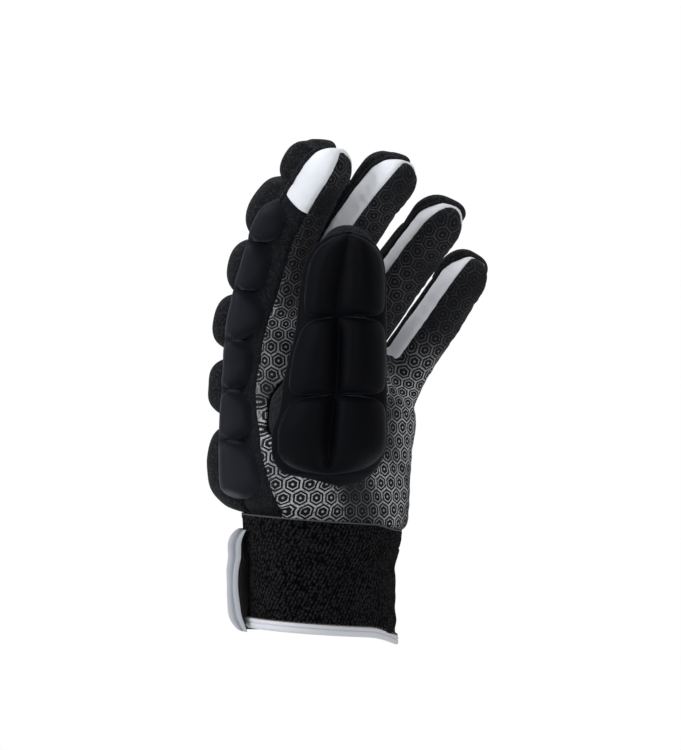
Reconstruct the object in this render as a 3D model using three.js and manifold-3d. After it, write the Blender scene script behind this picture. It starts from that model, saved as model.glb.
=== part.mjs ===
// A padded field glove for the left hand, in the shape it has when worn, fingers up.
// Millimetres. +Z runs from the wrist to the fingertips, -Y is the palm's side and -X the index finger's.
// The origin is the centre of the wrist opening, at the lower edge of the cuff.
//
// The hand is first laid out flat, with straight fingers in one plane, and so are its guards and the sheets
// that part its skin along the seams. pose() cups the palm and curls the fingers, and all of them are cut
// and joined in that shape. The thumb and the cuff are added to the curled hand.
import * as THREE from "three";
import { mergeVertices } from "three/addons/utils/BufferGeometryUtils.js";
import Module from "manifold-3d";

const wasm = await Module();
wasm.setup();

// Driving dimensions
const skin = 1.8; // thickness of the panels and of the thumb's stall
const seamGap = 0.35; // what is left open between two panels along a seam
const seatGap = 0.6; // what is left open between a guard and what lies below it
const padEdge = 1.6; // thickness of a guard at its edges and creases
const palmFromZ = 46; // the panels' lower ends, inside the cuff
const cavityFromZ = 38;
const cuffWall = 2.6;
const cuffTopZ = 51.5;
const bindingTopZ = 4.6;
const cuffSlant = 0.08; // how much the cuff's edges fall for each mm towards the thumb view's right
const thumbYaw = -42; // degrees that the thumb is turned from the palm's plane towards the index finger

// The palm's sections across the hand. rise is how far each lies from the wrist to the line of the webs.
const palmSections = [
  { rise: 0.0, centreX: 0, halfWidth: 35.8, front: 25.3, back: 25.3, power: 2.2 },
  { rise: 0.075, centreX: 0, halfWidth: 35.8, front: 25.3, back: 25.3, power: 2.2 },
  { rise: 0.1, centreX: 2.4, halfWidth: 41.5, front: 26, back: 25, power: 2.4 },
  { rise: 0.2, centreX: 1.7, halfWidth: 44.9, front: 24, back: 24, power: 2.6 },
  { rise: 0.45, centreX: 2.7, halfWidth: 46.9, front: 19.5, back: 21, power: 2.8 },
  { rise: 0.74, centreX: 5, halfWidth: 48.5, front: 15.8, back: 17, power: 2.9 },
  { rise: 1.0, centreX: 5, halfWidth: 40.5, front: 10.5, back: 10, power: 2.6 },
];

// Each finger from its knuckle: its size and direction in the flat hand, and how the pose lifts, rolls
// and bends it, in degrees. The guard on its back covers guardArc, in degrees round the finger from its
// ulnar side, and stands out past its two sides by guardSides.
const fingers = [
  { name: "index", knuckleX: -32, knuckleZ: 144.5, splay: 0.3, length: 92, width: 24, front: 12, back: 10,
    lift: 0, roll: 5.5, bends: [21.5, 17, 5],
    guardFrom: 12, guardHeights: [13.5, 13, 9.5], guardSides: [12, 0.4], guardArc: [26, 146] },
  { name: "middle", knuckleX: -8, knuckleZ: 142, splay: 3, length: 100, width: 23.5, front: 12, back: 10,
    lift: 2.4, roll: -7.5, bends: [35.5, 9, 4.5],
    guardFrom: 9, guardHeights: [6.5, 6.5, 6.5], guardSides: [0.4, 0.4], guardArc: [26, 154] },
  { name: "ring", knuckleX: 19, knuckleZ: 131, splay: 9.8, length: 87.5, width: 23, front: 12, back: 10,
    lift: 0.8, roll: -15, bends: [39.5, 2, 3],
    guardFrom: 9, guardHeights: [6.5, 6.5, 9], guardSides: [0.4, 0.4], guardArc: [26, 154] },
  { name: "little", knuckleX: 43.5, knuckleZ: 113, splay: 18.5, length: 73, width: 23, front: 11.5, back: 9.5,
    lift: 0, roll: -7, bends: [31, 0, 0],
    guardFrom: 9, guardHeights: [6.5, 6.5, 7.5], guardSides: [0.4, 2.5], guardArc: [26, 154] },
];
const jointShare = [0, 0.46, 0.74]; // where a finger bends, as shares of its length
const jointReach = [26, 20, 16]; // how long each bend is
const fingerTaper = 0.1;
const tipRound = 11;
const fingerPower = 2.5;
const fingerSides = 8;
const palmSides = 20;

// The webs between the fingers lie on this curve, lowest beside the little finger.
const webLine = (x) => 158.5 - 0.55 * (x - 5) - 0.32 * Math.hypot(x - 5, 8);

const radians = THREE.MathUtils.degToRad;
const smooth = (t) => THREE.MathUtils.smoothstep(t, 0, 1);
const lerp = THREE.MathUtils.lerp;
const vec = (x, y, z) => new THREE.Vector3(x, y, z);

// Solids and meshes

function manifoldOf(geometry) {
  const bare = new THREE.BufferGeometry().setAttribute("position", geometry.getAttribute("position"));
  bare.setIndex(geometry.index);
  const merged = mergeVertices(bare, 1e-4);
  return new wasm.Manifold(new wasm.Mesh({
    numProp: 3,
    vertProperties: new Float32Array(merged.getAttribute("position").array),
    triVerts: new Uint32Array(merged.index.array),
  }));
}

function geometryOf(solid, move = (point) => point) {
  const mesh = solid.getMesh();
  const positions = new Float32Array(mesh.numVert * 3);
  for (let i = 0; i < mesh.numVert; i += 1) {
    const point = vec(...mesh.vertProperties.subarray(i * mesh.numProp, i * mesh.numProp + 3));
    move(point).toArray(positions, i * 3);
  }
  const geometry = new THREE.BufferGeometry();
  geometry.setAttribute("position", new THREE.BufferAttribute(positions, 3));
  geometry.setIndex(new THREE.BufferAttribute(new Uint32Array(mesh.triVerts), 1));
  return geometry;
}

const moved = (solid, move) => manifoldOf(geometryOf(solid, move));

const joined = (solids) => solids.reduce((whole, solid) => whole.add(solid));

const solidFrom = (points, faces) => manifoldOf(new THREE.BufferGeometry().setFromPoints(points).setIndex(faces));

const quad = (a, b, c, d) => [a, b, c, a, c, d];

// A closed skin through rings of points, each ring counter-clockwise seen from the last one's side.
function loft(rings) {
  const sides = rings[0].length;
  const points = rings.flat();
  const faces = [];
  for (let r = 0; r + 1 < rings.length; r += 1) {
    for (let i = 0; i < sides; i += 1) {
      const a = r * sides + i;
      const b = r * sides + ((i + 1) % sides);
      faces.push(...quad(a, b, b + sides, a + sides));
    }
  }
  const middle = (ring) => ring.reduce((sum, p) => sum.add(p), vec(0, 0, 0)).divideScalar(sides);
  points.push(middle(rings[0]), middle(rings.at(-1)));
  const last = (rings.length - 1) * sides;
  for (let i = 0; i < sides; i += 1) {
    const next = (i + 1) % sides;
    faces.push(points.length - 2, next, i, points.length - 1, last + i, last + next);
  }
  return solidFrom(points, faces);
}

// A closed hoop: each ring goes once round, and the last ring joins the first.
function hoop(rings) {
  const sides = rings[0].length;
  const faces = rings.flatMap((_, r) => rings[0].flatMap((__, i) => {
    const next = (i + 1) % sides;
    const above = ((r + 1) % rings.length) * sides;
    return quad(r * sides + i, r * sides + next, above + next, above + i);
  }));
  return solidFrom(rings.flat(), faces);
}

// A closed solid between two grids of points, top and bottom, each a list of rows.
function slab(top, bottom) {
  const rows = top.length;
  const columns = top[0].length;
  const under = rows * columns;
  const faces = [];
  for (let r = 0; r + 1 < rows; r += 1) {
    for (let c = 0; c + 1 < columns; c += 1) {
      const a = r * columns + c;
      faces.push(...quad(a, a + 1, a + columns + 1, a + columns));
      faces.push(...quad(under + a, under + a + columns, under + a + columns + 1, under + a + 1));
    }
  }
  const rim = [];
  for (let c = 0; c + 1 < columns; c += 1) rim.push(c);
  for (let r = 0; r + 1 < rows; r += 1) rim.push(r * columns + columns - 1);
  for (let c = columns - 1; c > 0; c -= 1) rim.push((rows - 1) * columns + c);
  for (let r = rows - 1; r > 0; r -= 1) rim.push(r * columns);
  rim.forEach((a, i) => {
    const b = rim[(i + 1) % rim.length];
    faces.push(...quad(a, a + under, b + under, b));
  });
  return solidFrom([...top.flat(), ...bottom.flat()], faces);
}

// A guard: a slab worked out from rows and columns, whose pointAt gives the outer face and the inner one.
function guardSlab(rows, columns, pointAt) {
  const face = (outer) => rows.map((row) => columns.map((column) => pointAt(row, column, outer)));
  return slab(face(true), face(false));
}

function box(sizeX, sizeY, sizeZ, matrix) {
  return manifoldOf(new THREE.BoxGeometry(sizeX, sizeY, sizeZ).applyMatrix4(matrix));
}

const largest = (bodies) => bodies.reduce((best, body) => (body.volume() > best.volume() ? body : best));

// Of the bodies of a cut solid, the one that has the most of itself near a point.
function bodyAt(bodies, place) {
  const cube = box(8, 8, 8, new THREE.Matrix4().setPosition(place));
  const shares = bodies.map((body) => body.intersect(cube).volume());
  return bodies[shares.indexOf(Math.max(...shares))];
}

// The value of one column of a table at a key, on straight lines between its rows.
function fromTable(table, key, column, at) {
  const next = Math.min(Math.max(table.findIndex((row) => row[key] >= at), 1), table.length - 1);
  const upper = at > table.at(-1)[key] ? table.length - 1 : next;
  const [a, b] = [table[upper - 1], table[upper]];
  const share = THREE.MathUtils.clamp((at - a[key]) / (b[key] - a[key]), 0, 1);
  return lerp(a[column], b[column], share);
}

// Laying out the flat hand

const power = (value, exponent) => Math.sign(value) * Math.abs(value) ** exponent;

// A point of a rounded section, an oval whose palm side and back have their own depths.
function ovalPoint(turn, halfWidth, front, back, exponent) {
  const rise = power(Math.sin(turn), 2 / exponent);
  return { across: halfWidth * power(Math.cos(turn), 2 / exponent), depth: rise * (rise < 0 ? front : back) };
}

// A section's corners, set so that its flat sides, front and back lie on the oval.
function oval(sides, halfWidth, front, back, exponent) {
  const reach = Math.cos(Math.PI / sides) ** (-2 / exponent);
  return Array.from({ length: sides }, (_, i) =>
    ovalPoint(((i + 0.5) / sides) * 2 * Math.PI, halfWidth * reach, front * reach, back * reach, exponent));
}

// The finger's own flat frame: a point at a distance along it, across it and above its middle plane.
function onFinger(finger, along, across, height) {
  const splay = radians(finger.splay);
  return vec(
    finger.knuckleX + along * Math.sin(splay) + across * Math.cos(splay),
    height,
    finger.knuckleZ + along * Math.cos(splay) - across * Math.sin(splay),
  );
}

function fromFinger(finger, point) {
  const splay = radians(finger.splay);
  const x = point.x - finger.knuckleX;
  const z = point.z - finger.knuckleZ;
  return {
    along: x * Math.sin(splay) + z * Math.cos(splay),
    across: x * Math.cos(splay) - z * Math.sin(splay),
  };
}

const fingerScale = (finger, along) => 1 - (fingerTaper * Math.max(along, 0)) / finger.length;

function fingerSolid(finger, grow) {
  const end = finger.length + grow;
  const round = tipRound + grow;
  const stations = [-14, -2, 10, 24, 0.46 * finger.length, 0.74 * finger.length].map((along) => ({ along, share: 1 }));
  [0, 38, 72].forEach((turn) => stations.push({
    along: end - round + round * Math.sin(radians(turn)),
    share: Math.cos(radians(turn)),
  }));
  return loft(stations.map(({ along, share }) => {
    const scale = fingerScale(finger, along);
    const section = oval(
      fingerSides,
      ((finger.width / 2) * scale + grow) * share,
      (finger.front * scale + grow) * share,
      (finger.back * scale + grow) * share,
      fingerPower,
    );
    return section.map(({ across, depth }) => onFinger(finger, along, across, depth));
  }));
}

const palmZ = (rise, x) => palmFromZ + rise * (webLine(x) - palmFromZ);

function palmSolid(grow, fromZ) {
  const rings = palmSections.map((row, i) => {
    const last = i === palmSections.length - 1;
    const section = oval(palmSides, row.halfWidth + grow, row.front + grow, row.back + grow, row.power);
    return section.map(({ across, depth }) => {
      const x = row.centreX + across;
      return vec(x, depth, i === 0 ? fromZ : palmZ(row.rise, x) + (last ? grow : 0));
    });
  });
  return loft(rings);
}

// Curling the flat hand

const rollReach = 80; // length over which the palm's arch turns into the fingers' lift and roll
const rollEnd = 10;
const webReach = 60; // how far below the webs the fingers' own movements begin to part

function curl(finger, along) {
  const start = -jointReach[0] / 2;
  if (along <= start) return { forward: along, drop: 0, angle: 0 };
  const angleAt = (s) => finger.bends.reduce((sum, degrees, j) =>
    sum + radians(degrees) * smooth((s - jointShare[j] * finger.length) / jointReach[j] + 0.5), 0);
  const steps = Math.ceil(along - start);
  const step = (along - start) / steps;
  let forward = start;
  let drop = 0;
  for (let i = 0; i < steps; i += 1) {
    const angle = angleAt(start + (i + 0.5) * step);
    forward += step * Math.cos(angle);
    drop += step * Math.sin(angle);
  }
  return { forward, drop, angle: angleAt(along) };
}

function poseByFinger(finger, point) {
  const { along, across } = fromFinger(finger, point);
  const share = smooth((along + rollReach - rollEnd) / rollReach);
  const roll = radians(finger.roll) * share;
  const side = across * Math.cos(roll) - point.y * Math.sin(roll);
  const height = across * Math.sin(roll) + point.y * Math.cos(roll);
  const { forward, drop, angle } = curl(finger, along);
  const place = onFinger(finger, forward + height * Math.sin(angle), side, 0);
  place.y = finger.lift * share - drop + height * Math.cos(angle);
  return place;
}

// Every point goes with the fingers beside it: softly in the palm, sharply beyond the webs.
function pose(point) {
  const nearWebs = smooth((point.z - webLine(point.x) + webReach) / (webReach + 15));
  const width = lerp(14, 4.2, nearWebs);
  const offsets = fingers.map((finger) => (fromFinger(finger, point).across / width) ** 2);
  const least = Math.min(...offsets);
  const weights = offsets.map((offset) => Math.exp(least - offset));
  const total = weights.reduce((sum, weight) => sum + weight, 0);
  const place = vec(0, 0, 0);
  fingers.forEach((finger, i) => {
    if (weights[i] / total > 1e-4) place.addScaledVector(poseByFinger(finger, point), weights[i] / total);
  });
  return place;
}

const posed = (solid) => moved(solid, pose);

const handSolid = (grow, fromZ = palmFromZ) =>
  joined([palmSolid(grow, fromZ), ...fingers.map((finger) => fingerSolid(finger, grow))].map(posed));

// The skin's seams

const [index, middle, ring, little] = fingers;

// Heights of the seams above the flat hand's middle plane, from the index finger's outer side across the
// webs to the little finger's outer side. The first is for the finger alone: beside the palm, sideSeams
// gives it for each height up the hand.
const seamLevels = [
  { place: "index side", palm: -9, back: 6 },
  { place: "index web", palm: -7.2, back: 6.2 },
  { place: "ring web", palm: -4.6, back: 4.6 },
  { place: "little web", palm: -6.5, back: 5.6 },
  { place: "little side", palm: -6.5, back: 5.6 },
];
const sideSeams = [
  { z: 30, palm: -8, back: 12 },
  { z: 62, palm: -8, back: 12 },
  { z: 90, palm: -3.5, back: 12 },
  { z: 110, palm: -3.5, back: 12 },
  { z: 145, palm: -9, back: 8 },
  { z: 160, palm: -9, back: 6 },
  { z: 275, palm: -9, back: 6 },
];
const sheetPalmRows = [30, 66, 92]; // heights up the palm
const sheetFingerRows = [-10, 8, 26, 46, 74, 125]; // distances along each finger, for one 100 mm long

// A thin sheet through the whole hand, whose height steps inside each finger.
function seamSheet(side) {
  const columns = fingers.flatMap((finger, i) => [
    { finger, i, across: i === 0 ? -60 : -13.5, level: i },
    { finger, i, across: -4, level: i },
    { finger, i, across: 4, level: i + 1 },
    { finger, i, across: i === 3 ? 60 : 13.5, level: i + 1 },
  ]);
  const middleX = (i, z) => [i, i + 1].reduce((sum, k) => sum + onFinger(fingers[k], z - fingers[k].knuckleZ, 0, 0).x / 2, 0);
  const heightAt = (level, z) => (level === 0 ? fromTable(sideSeams, "z", side, z) : seamLevels[level][side]);
  const place = ({ finger, i, across, level }, along, lift) => {
    const point = onFinger(finger, along, across, 0);
    point.y = heightAt(level, point.z) + lift;
    if (i < 3) point.x = Math.min(point.x, middleX(i, point.z) - 0.3);
    if (i > 0) point.x = Math.max(point.x, middleX(i - 1, point.z) + 0.3);
    return point;
  };
  const rows = (lift) => [
    ...sheetPalmRows.map((z) => columns.map((column) => place(column, z - column.finger.knuckleZ, lift))),
    ...sheetFingerRows.map((share) => columns.map((column) =>
      place(column, (share * column.finger.length) / 100, lift))),
  ];
  return slab(rows(-seamGap / 2), rows(seamGap / 2));
}

// Short cuts that part the side strips at the fingertips.
const tipCuts = fingers.map((finger, i) => {
  const levels = [seamLevels[i], seamLevels[i + 1]];
  const low = Math.min(...levels.map((level) => level.palm));
  const high = Math.max(...levels.map((level) => level.back));
  const place = onFinger(finger, finger.length, 0, (low + high) / 2);
  return box(seamGap, high - low, 30, new THREE.Matrix4()
    .makeRotationY(radians(finger.splay)).setPosition(place));
});

// The white strip on the index finger's outer side starts here, on a slant.
const stripFromZ = 196;
const stripCut = box(24, 26, seamGap, new THREE.Matrix4()
  .makeRotationX(radians(38)).setPosition(onFinger(index, stripFromZ - index.knuckleZ, -14, 0)));

const cutters = joined([seamSheet("palm"), seamSheet("back"), ...tipCuts, stripCut].map(posed));
const panels = handSolid(0).subtract(handSolid(-skin, cavityFromZ)).subtract(cutters).decompose();

const panelProbes = {
  palm_panel: vec(0, -22, 90),
  back_panel: vec(0, 20, 90),
  index_side_panel: vec(-45, 4, 100),
  index_side_strip: onFinger(index, 75, -11, 0),
  index_middle_strip: onFinger(middle, 60, -11, 0),
  middle_ring_strip: onFinger(ring, 60, -11, 0),
  ring_little_strip: onFinger(little, 45, -11, 0),
  little_side_strip: onFinger(little, 45, 11, 0),
};

// Guards raised on the flat hand

// Where a pillow's grid lines lie between its two creases, and how full the pillow is at each.
const pillowShares = [0, 0.12, 0.5, 0.88, 1];
const fullness = (share, exponent = 3) => Math.sqrt(Math.max(1 - Math.abs(2 * share - 1) ** exponent, 0));

const pillowLines = (spans, shares = pillowShares) => spans.flatMap(([from, to, height = 1]) =>
  shares.map((share) => ({ at: lerp(from, to, share), full: height * fullness(share) })));

// The back of a finger: three pillows, the last one a hood over the fingertip.
const guardShares = [-1, -0.8, -0.4, 0, 0.4, 0.8, 1];
const hoodReach = -2.5;

function fingerGuard(finger) {
  const { length, guardHeights } = finger;
  const rows = pillowLines([
    [finger.guardFrom, 0.41 * length - 1, guardHeights[0]],
    [0.41 * length + 1, 0.715 * length - 1, guardHeights[1]],
    [0.715 * length + 1, length + hoodReach, guardHeights[2]],
  ]);
  const [arcFrom, arcTo] = finger.guardArc.map(radians);
  const columns = guardShares.map((share) => ({
    at: lerp(arcFrom, arcTo, (share + 1) / 2),
    full: (1 - Math.abs(share) ** 5) ** 0.5,
  }));
  return guardSlab(rows, columns, (row, column, outer) => {
    const scale = fingerScale(finger, row.at);
    const beyond = smooth((row.at - (length - 14)) / (14 + hoodReach));
    const side = finger.guardSides[column.at < Math.PI / 2 ? 1 : 0];
    const out = outer ? padEdge + row.full * column.full * (1 - 0.3 * beyond) : -3;
    const share = 1 - (outer ? 0.35 : 0.5) * beyond ** 2;
    const { across, depth } = ovalPoint(
      column.at, ((finger.width / 2) * scale + (outer ? side : -3)) * share, finger.front,
      (finger.back * scale + out) * share, fingerPower,
    );
    return onFinger(finger, row.at, across, depth);
  });
}

// The back of the hand: three rows of four pillows, each over its own finger's bone.
const blockShares = [0, 0.17, 0.83, 1];
const handGuardRows = pillowLines([[0.075, 0.41], [0.43, 0.66], [0.68, 0.87]], blockShares);
const handGuardColumns = pillowLines([[16, 62], [65, 87], [90, 107], [110, 153]], blockShares)
  .map(({ at, full }) => ({ at: radians(at), full }));
const handGuardHeight = 12.5;

function handGuard() {
  return guardSlab(handGuardRows, handGuardColumns, (row, column, outer) => {
    const section = (name) => fromTable(palmSections, "rise", name, row.at);
    const grow = outer ? padEdge + handGuardHeight * row.full * column.full : -4;
    const { across, depth } = ovalPoint(
      column.at, section("halfWidth") + grow, section("front"), section("back") + grow, section("power"),
    );
    const x = section("centreX") + across;
    return vec(x, depth, palmZ(row.at, section("centreX") + across * 0.95));
  });
}

// The index finger's outer side: six lobes in a row, straight along the back and rounded to the palm.
const lobeSpans = [[61, 86], [88, 110], [112, 132], [134, 155], [157, 178], [180, 197]];
const lobeHeight = 7;
const lobeNotch = 5; // how far the creases between the lobes run in from their palm side
const lobeMargin = 1.2; // how far the lobes stay from the two seams
const lobeColumns = [0, 0.2, 0.8, 1];

function sideX(z) {
  const rise = (z - palmFromZ) / (webLine(-42) - palmFromZ);
  const palmSide = fromTable(palmSections, "rise", "centreX", rise) - fromTable(palmSections, "rise", "halfWidth", rise);
  const along = (z - index.knuckleZ) / Math.cos(radians(index.splay));
  return Math.min(palmSide, onFinger(index, along, (-index.width / 2) * fingerScale(index, along), 0).x);
}

function sideGuard(grow = 0) {
  const rows = lobeSpans.flatMap(([from, to]) => pillowShares.map((share) => {
    const z = lerp(from, to, share);
    return {
      z,
      full: fullness(share),
      backY: fromTable(sideSeams, "z", "back", z) - 0.5 + grow,
      palmY: fromTable(sideSeams, "z", "palm", z) + lobeMargin + lobeNotch * Math.abs(2 * share - 1) ** 3 - grow,
    };
  }));
  return guardSlab(rows, lobeColumns, (row, column, outer) => {
    const creased = lerp(row.full, 1, 0.6 * (1 - column));
    const out = outer ? padEdge + lobeHeight * creased * fullness(column) + grow : -5;
    return vec(sideX(row.z) - out, lerp(row.backY, row.palmY, column), row.z);
  });
}

// The thumb, in its own frame: x to the thumb view's right, y away from it

const thumbSections = [
  { z: 56, centreX: 0, centreY: -8, halfWidth: 12, halfDepth: 10 },
  { z: 66, centreX: 1, centreY: -15, halfWidth: 14, halfDepth: 11.5 },
  { z: 74, centreX: 2, centreY: -27, halfWidth: 17, halfDepth: 13.5 },
  { z: 86, centreX: 3.5, centreY: -36, halfWidth: 18.5, halfDepth: 14 },
  { z: 105, centreX: 6.5, centreY: -41, halfWidth: 17, halfDepth: 14 },
  { z: 130, centreX: 9.5, centreY: -45, halfWidth: 15, halfDepth: 13.5 },
  { z: 155, centreX: 11, centreY: -49, halfWidth: 14, halfDepth: 12.5 },
  { z: 170, centreX: 11.5, centreY: -51, halfWidth: 13, halfDepth: 11.5 },
];
const thumbTipZ = 186;
const thumbRound = 14;
const thumbSides = 12;
const thumbTurn = new THREE.Matrix4().makeRotationZ(radians(thumbYaw));
const toHand = (x, y, z) => vec(x, y, z).applyMatrix4(thumbTurn);
const thumbValue = (column, z) => fromTable(thumbSections, "z", column, z);

function thumbSolid(grow, fromZ = thumbSections[0].z) {
  const end = thumbTipZ + grow;
  const round = thumbRound + grow;
  const stations = [fromZ, 66, 74, 86, 105, 118, 135, 153].map((z) => ({ z, share: 1 }));
  [0, 35, 62, 83].forEach((turn) => stations.push({
    z: end - round + round * Math.sin(radians(turn)),
    share: Math.cos(radians(turn)),
  }));
  return loft(stations.map(({ z, share }) => {
    const halfDepth = (thumbValue("halfDepth", z) + grow) * share;
    return oval(thumbSides, (thumbValue("halfWidth", z) + grow) * share, halfDepth, halfDepth, 2.3)
      .map(({ across, depth }) => toHand(thumbValue("centreX", z) + across, thumbValue("centreY", z) + depth, z));
  }));
}

// The thumb's guard: three rows of two pillows on a flange that shows on the left and below.
const guardFromZ = 66.5;
const guardToZ = 183;
const flange = 3;
const thumbPillow = 7;
const thumbRows = [
  { at: guardFromZ, full: 0 }, { at: 70.5, full: 0 },
  ...pillowLines([[71.5, 107.6], [109.6, 143.4], [145.4, 180.5]]),
  { at: guardToZ, full: 0 },
];
const thumbColumns = [
  { at: -1, full: 0 }, { at: -0.84, full: 0 }, { at: -0.7, full: 0.75 }, { at: -0.35, full: 1 },
  { at: 0.02, full: 0.45 }, { at: 0.4, full: 1 }, { at: 0.82, full: 0.85 }, { at: 1, full: 0 },
];

function thumbGuard() {
  const middleZ = (guardFromZ + guardToZ) / 2;
  const halfHeight = (guardToZ - guardFromZ) / 2;
  return guardSlab(thumbRows, thumbColumns, (row, column, outer) => {
    const end = Math.min(Math.abs(row.at - middleZ) / halfHeight, 0.98);
    const halfWidth = (26 - 0.075 * (row.at - guardFromZ)) * (1 - end ** 6) ** 0.42;
    const x = thumbValue("centreX", row.at) + 0.3 + halfWidth * column.at;
    const backY = thumbValue("centreY", row.at) - thumbValue("halfDepth", row.at) + 5 * column.at ** 2;
    const out = outer ? flange + thumbPillow * row.full * column.full : -1;
    return toHand(x, backY - out, row.at);
  });
}

// The cuff

const cuffSides = palmSides;
const cuffSections = [
  { z: -2, halfWidth: 38.8, halfDepth: 28.2 },
  { z: 5, halfWidth: 38.4, halfDepth: 28 },
  { z: 16, halfWidth: 37.6, halfDepth: 27.4 },
  { z: 30, halfWidth: 37.4, halfDepth: 27.2 },
  { z: 42, halfWidth: 39.4, halfDepth: 28.9 },
  { z: 60, halfWidth: 39.4, halfDepth: 28.9 },
];
const cuffPower = 2.2;

function cuffPoint(turn, z, grow) {
  const size = (column) => fromTable(cuffSections, "z", column, z) + grow;
  const { across, depth } = ovalPoint(turn, size("halfWidth"), size("halfDepth"), size("halfDepth"), cuffPower);
  const viewRight = across * Math.cos(radians(thumbYaw)) + depth * Math.sin(radians(thumbYaw));
  return vec(across, depth, z - cuffSlant * viewRight);
}

const cuffRing = (z, grow) => Array.from({ length: cuffSides }, (_, i) =>
  cuffPoint(((i + 0.5) / cuffSides) * 2 * Math.PI, z, grow));

function cuffBand() {
  const heights = [bindingTopZ + seamGap, 16, 30, 42, cuffTopZ];
  return hoop([
    ...heights.map((z) => cuffRing(z, 0)),
    ...heights.toReversed().map((z) => cuffRing(z, -cuffWall)),
  ]);
}

// The binding's section, round along its outer face.
const bindingSection = [
  { z: 0, grow: -3.2 }, { z: 0, grow: -0.6 }, { z: 0.9, grow: 0.4 }, { z: 3.4, grow: 0.6 },
  { z: bindingTopZ, grow: 0 }, { z: bindingTopZ, grow: -3.2 },
];
const cuffBinding = () => hoop(bindingSection.map(({ z, grow }) => cuffRing(z, grow)));

// The closure's tab: sewn down on the back, bowed out from the cuff towards its free edge.
const tabFrom = 118; // degrees round the cuff
const tabTo = 176;
const tabWall = 2.6;
const tabBow = 7.5;

function closureTab() {
  const rows = [0, 0.08, 0.25, 0.5, 0.75, 0.92, 1].map((share) => ({
    z: lerp(1.5, 50, share),
    bow: Math.sin(Math.PI * share),
  }));
  const columns = [0, 0.25, 0.5, 0.75, 0.93, 1];
  return guardSlab(rows, columns, (row, column, outer) => {
    const standoff = 1 + tabBow * row.bow * smooth(column * 1.1);
    const lip = outer ? tabWall + (column > 0.9 ? 0.6 : 0) : 0;
    const end = lerp(tabTo - 12, tabTo, row.bow);
    return cuffPoint(radians(lerp(tabFrom, end, column)), row.z, standoff + lip);
  });
}

// Colours and finishes

const finish = (color, roughness) => new THREE.MeshStandardMaterial({ color, roughness, metalness: 0 });
const gripCloth = finish(0x1b1c1f, 0.8);
const padCloth = finish(0x12141b, 0.75);
const knitCloth = finish(0x1a1b20, 0.9);
const whiteCloth = finish(0xe9e9ec, 0.7);
const loopPile = finish(0x0e0e0f, 0.95);

// The assembled glove

const thumbHollow = thumbSolid(-skin);
const handSeat = handSolid(seatGap);

const panelFinish = { palm_panel: gripCloth, back_panel: knitCloth, index_side_panel: padCloth };
const pieces = Object.entries(panelProbes).map(([name, probe]) => {
  const panel = bodyAt(panels, pose(probe));
  return [name, name === "palm_panel" ? panel.subtract(thumbHollow) : panel, panelFinish[name] ?? whiteCloth];
});
const backPanel = bodyAt(panels, pose(panelProbes.back_panel));
const webRegion = box(80, 30, 30, new THREE.Matrix4().setPosition(5, -1, 160));
const webSeat = backPanel.add(backPanel.translate([0, seamGap, 0])).intersect(webRegion);
const sideSeat = handSeat.add(posed(sideGuard(seamGap)));
const handGuards = [
  ["index_side_guard", sideGuard(), handSeat, padCloth],
  ["hand_guard", handGuard(), sideSeat, knitCloth],
  ...fingers.map((finger) => [`${finger.name}_guard`, fingerGuard(finger), sideSeat.add(webSeat), knitCloth]),
];
handGuards.forEach(([name, solid, seat, material]) =>
  pieces.push([name, largest(posed(solid).subtract(seat).decompose()), material]));
pieces.push(
  ["thumb_stall", largest(thumbSolid(0).subtract(thumbHollow).subtract(handSeat).decompose()), padCloth],
  ["thumb_guard", largest(thumbGuard().subtract(thumbSolid(seatGap)).subtract(handSeat).decompose()), padCloth],
  ["cuff_band", cuffBand(), loopPile],
  ["cuff_binding", cuffBinding(), whiteCloth],
  ["closure_tab", closureTab(), whiteCloth],
);

const glove = new THREE.Group();
pieces.forEach(([name, solid, material]) => {
  const mesh = new THREE.Mesh(geometryOf(solid), material);
  mesh.name = name;
  glove.add(mesh);
});

export default glove;
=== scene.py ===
# A padded field glove for the left hand, in the shape it has when worn, fingers up.
# Everything is worked out in millimetres and made into meshes in metres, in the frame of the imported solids.
from math import cos, pi, radians, sin
from types import SimpleNamespace

import bpy
import numpy as np
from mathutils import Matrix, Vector


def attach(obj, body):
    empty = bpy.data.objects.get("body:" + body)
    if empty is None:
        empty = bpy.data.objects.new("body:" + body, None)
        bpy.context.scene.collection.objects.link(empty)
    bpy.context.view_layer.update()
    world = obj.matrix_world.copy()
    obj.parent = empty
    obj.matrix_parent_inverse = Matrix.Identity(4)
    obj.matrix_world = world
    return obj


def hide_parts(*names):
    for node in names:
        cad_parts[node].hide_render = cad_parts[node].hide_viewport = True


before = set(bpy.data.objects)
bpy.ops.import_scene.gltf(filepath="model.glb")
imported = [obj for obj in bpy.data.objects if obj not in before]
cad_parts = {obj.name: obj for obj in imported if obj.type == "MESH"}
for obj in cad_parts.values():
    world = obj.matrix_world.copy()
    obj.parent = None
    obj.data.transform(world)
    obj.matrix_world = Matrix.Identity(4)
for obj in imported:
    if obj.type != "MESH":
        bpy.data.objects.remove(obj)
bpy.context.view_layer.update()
mm = 0.001
print("packed solids loaded:", len(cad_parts))


# Small helpers for arrays

def smooth(t):
    # 3 t squared less 2 t cubed, held between 0 and 1
    q = np.clip(t, 0, 1)
    return q * q * (3 - 2 * q)


def lerp(a, b, t):
    return a + (b - a) * t


def signedPower(value, exponent):
    return np.sign(value) * np.abs(value) ** exponent


def hump(distance, width):
    # a bell: 1 in the middle, exp of minus the squared distance over the width
    return np.exp(-(distance / width) ** 2)


def quarterRound(t):
    # rises from 0 to 1 as a quarter circle does
    return np.sqrt(1 - np.clip(1 - t, 0, 1) ** 2)


def crowded(count):
    # from -1 to 1 on a sine, closer together towards both ends
    return np.sin(np.linspace(-pi / 2, pi / 2, count))


def fullTurn(count):
    return np.linspace(0, 2 * pi, count, endpoint=False)


def unit(vectors):
    return vectors / np.linalg.norm(vectors, axis=-1, keepdims=True).clip(1e-9)


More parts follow.
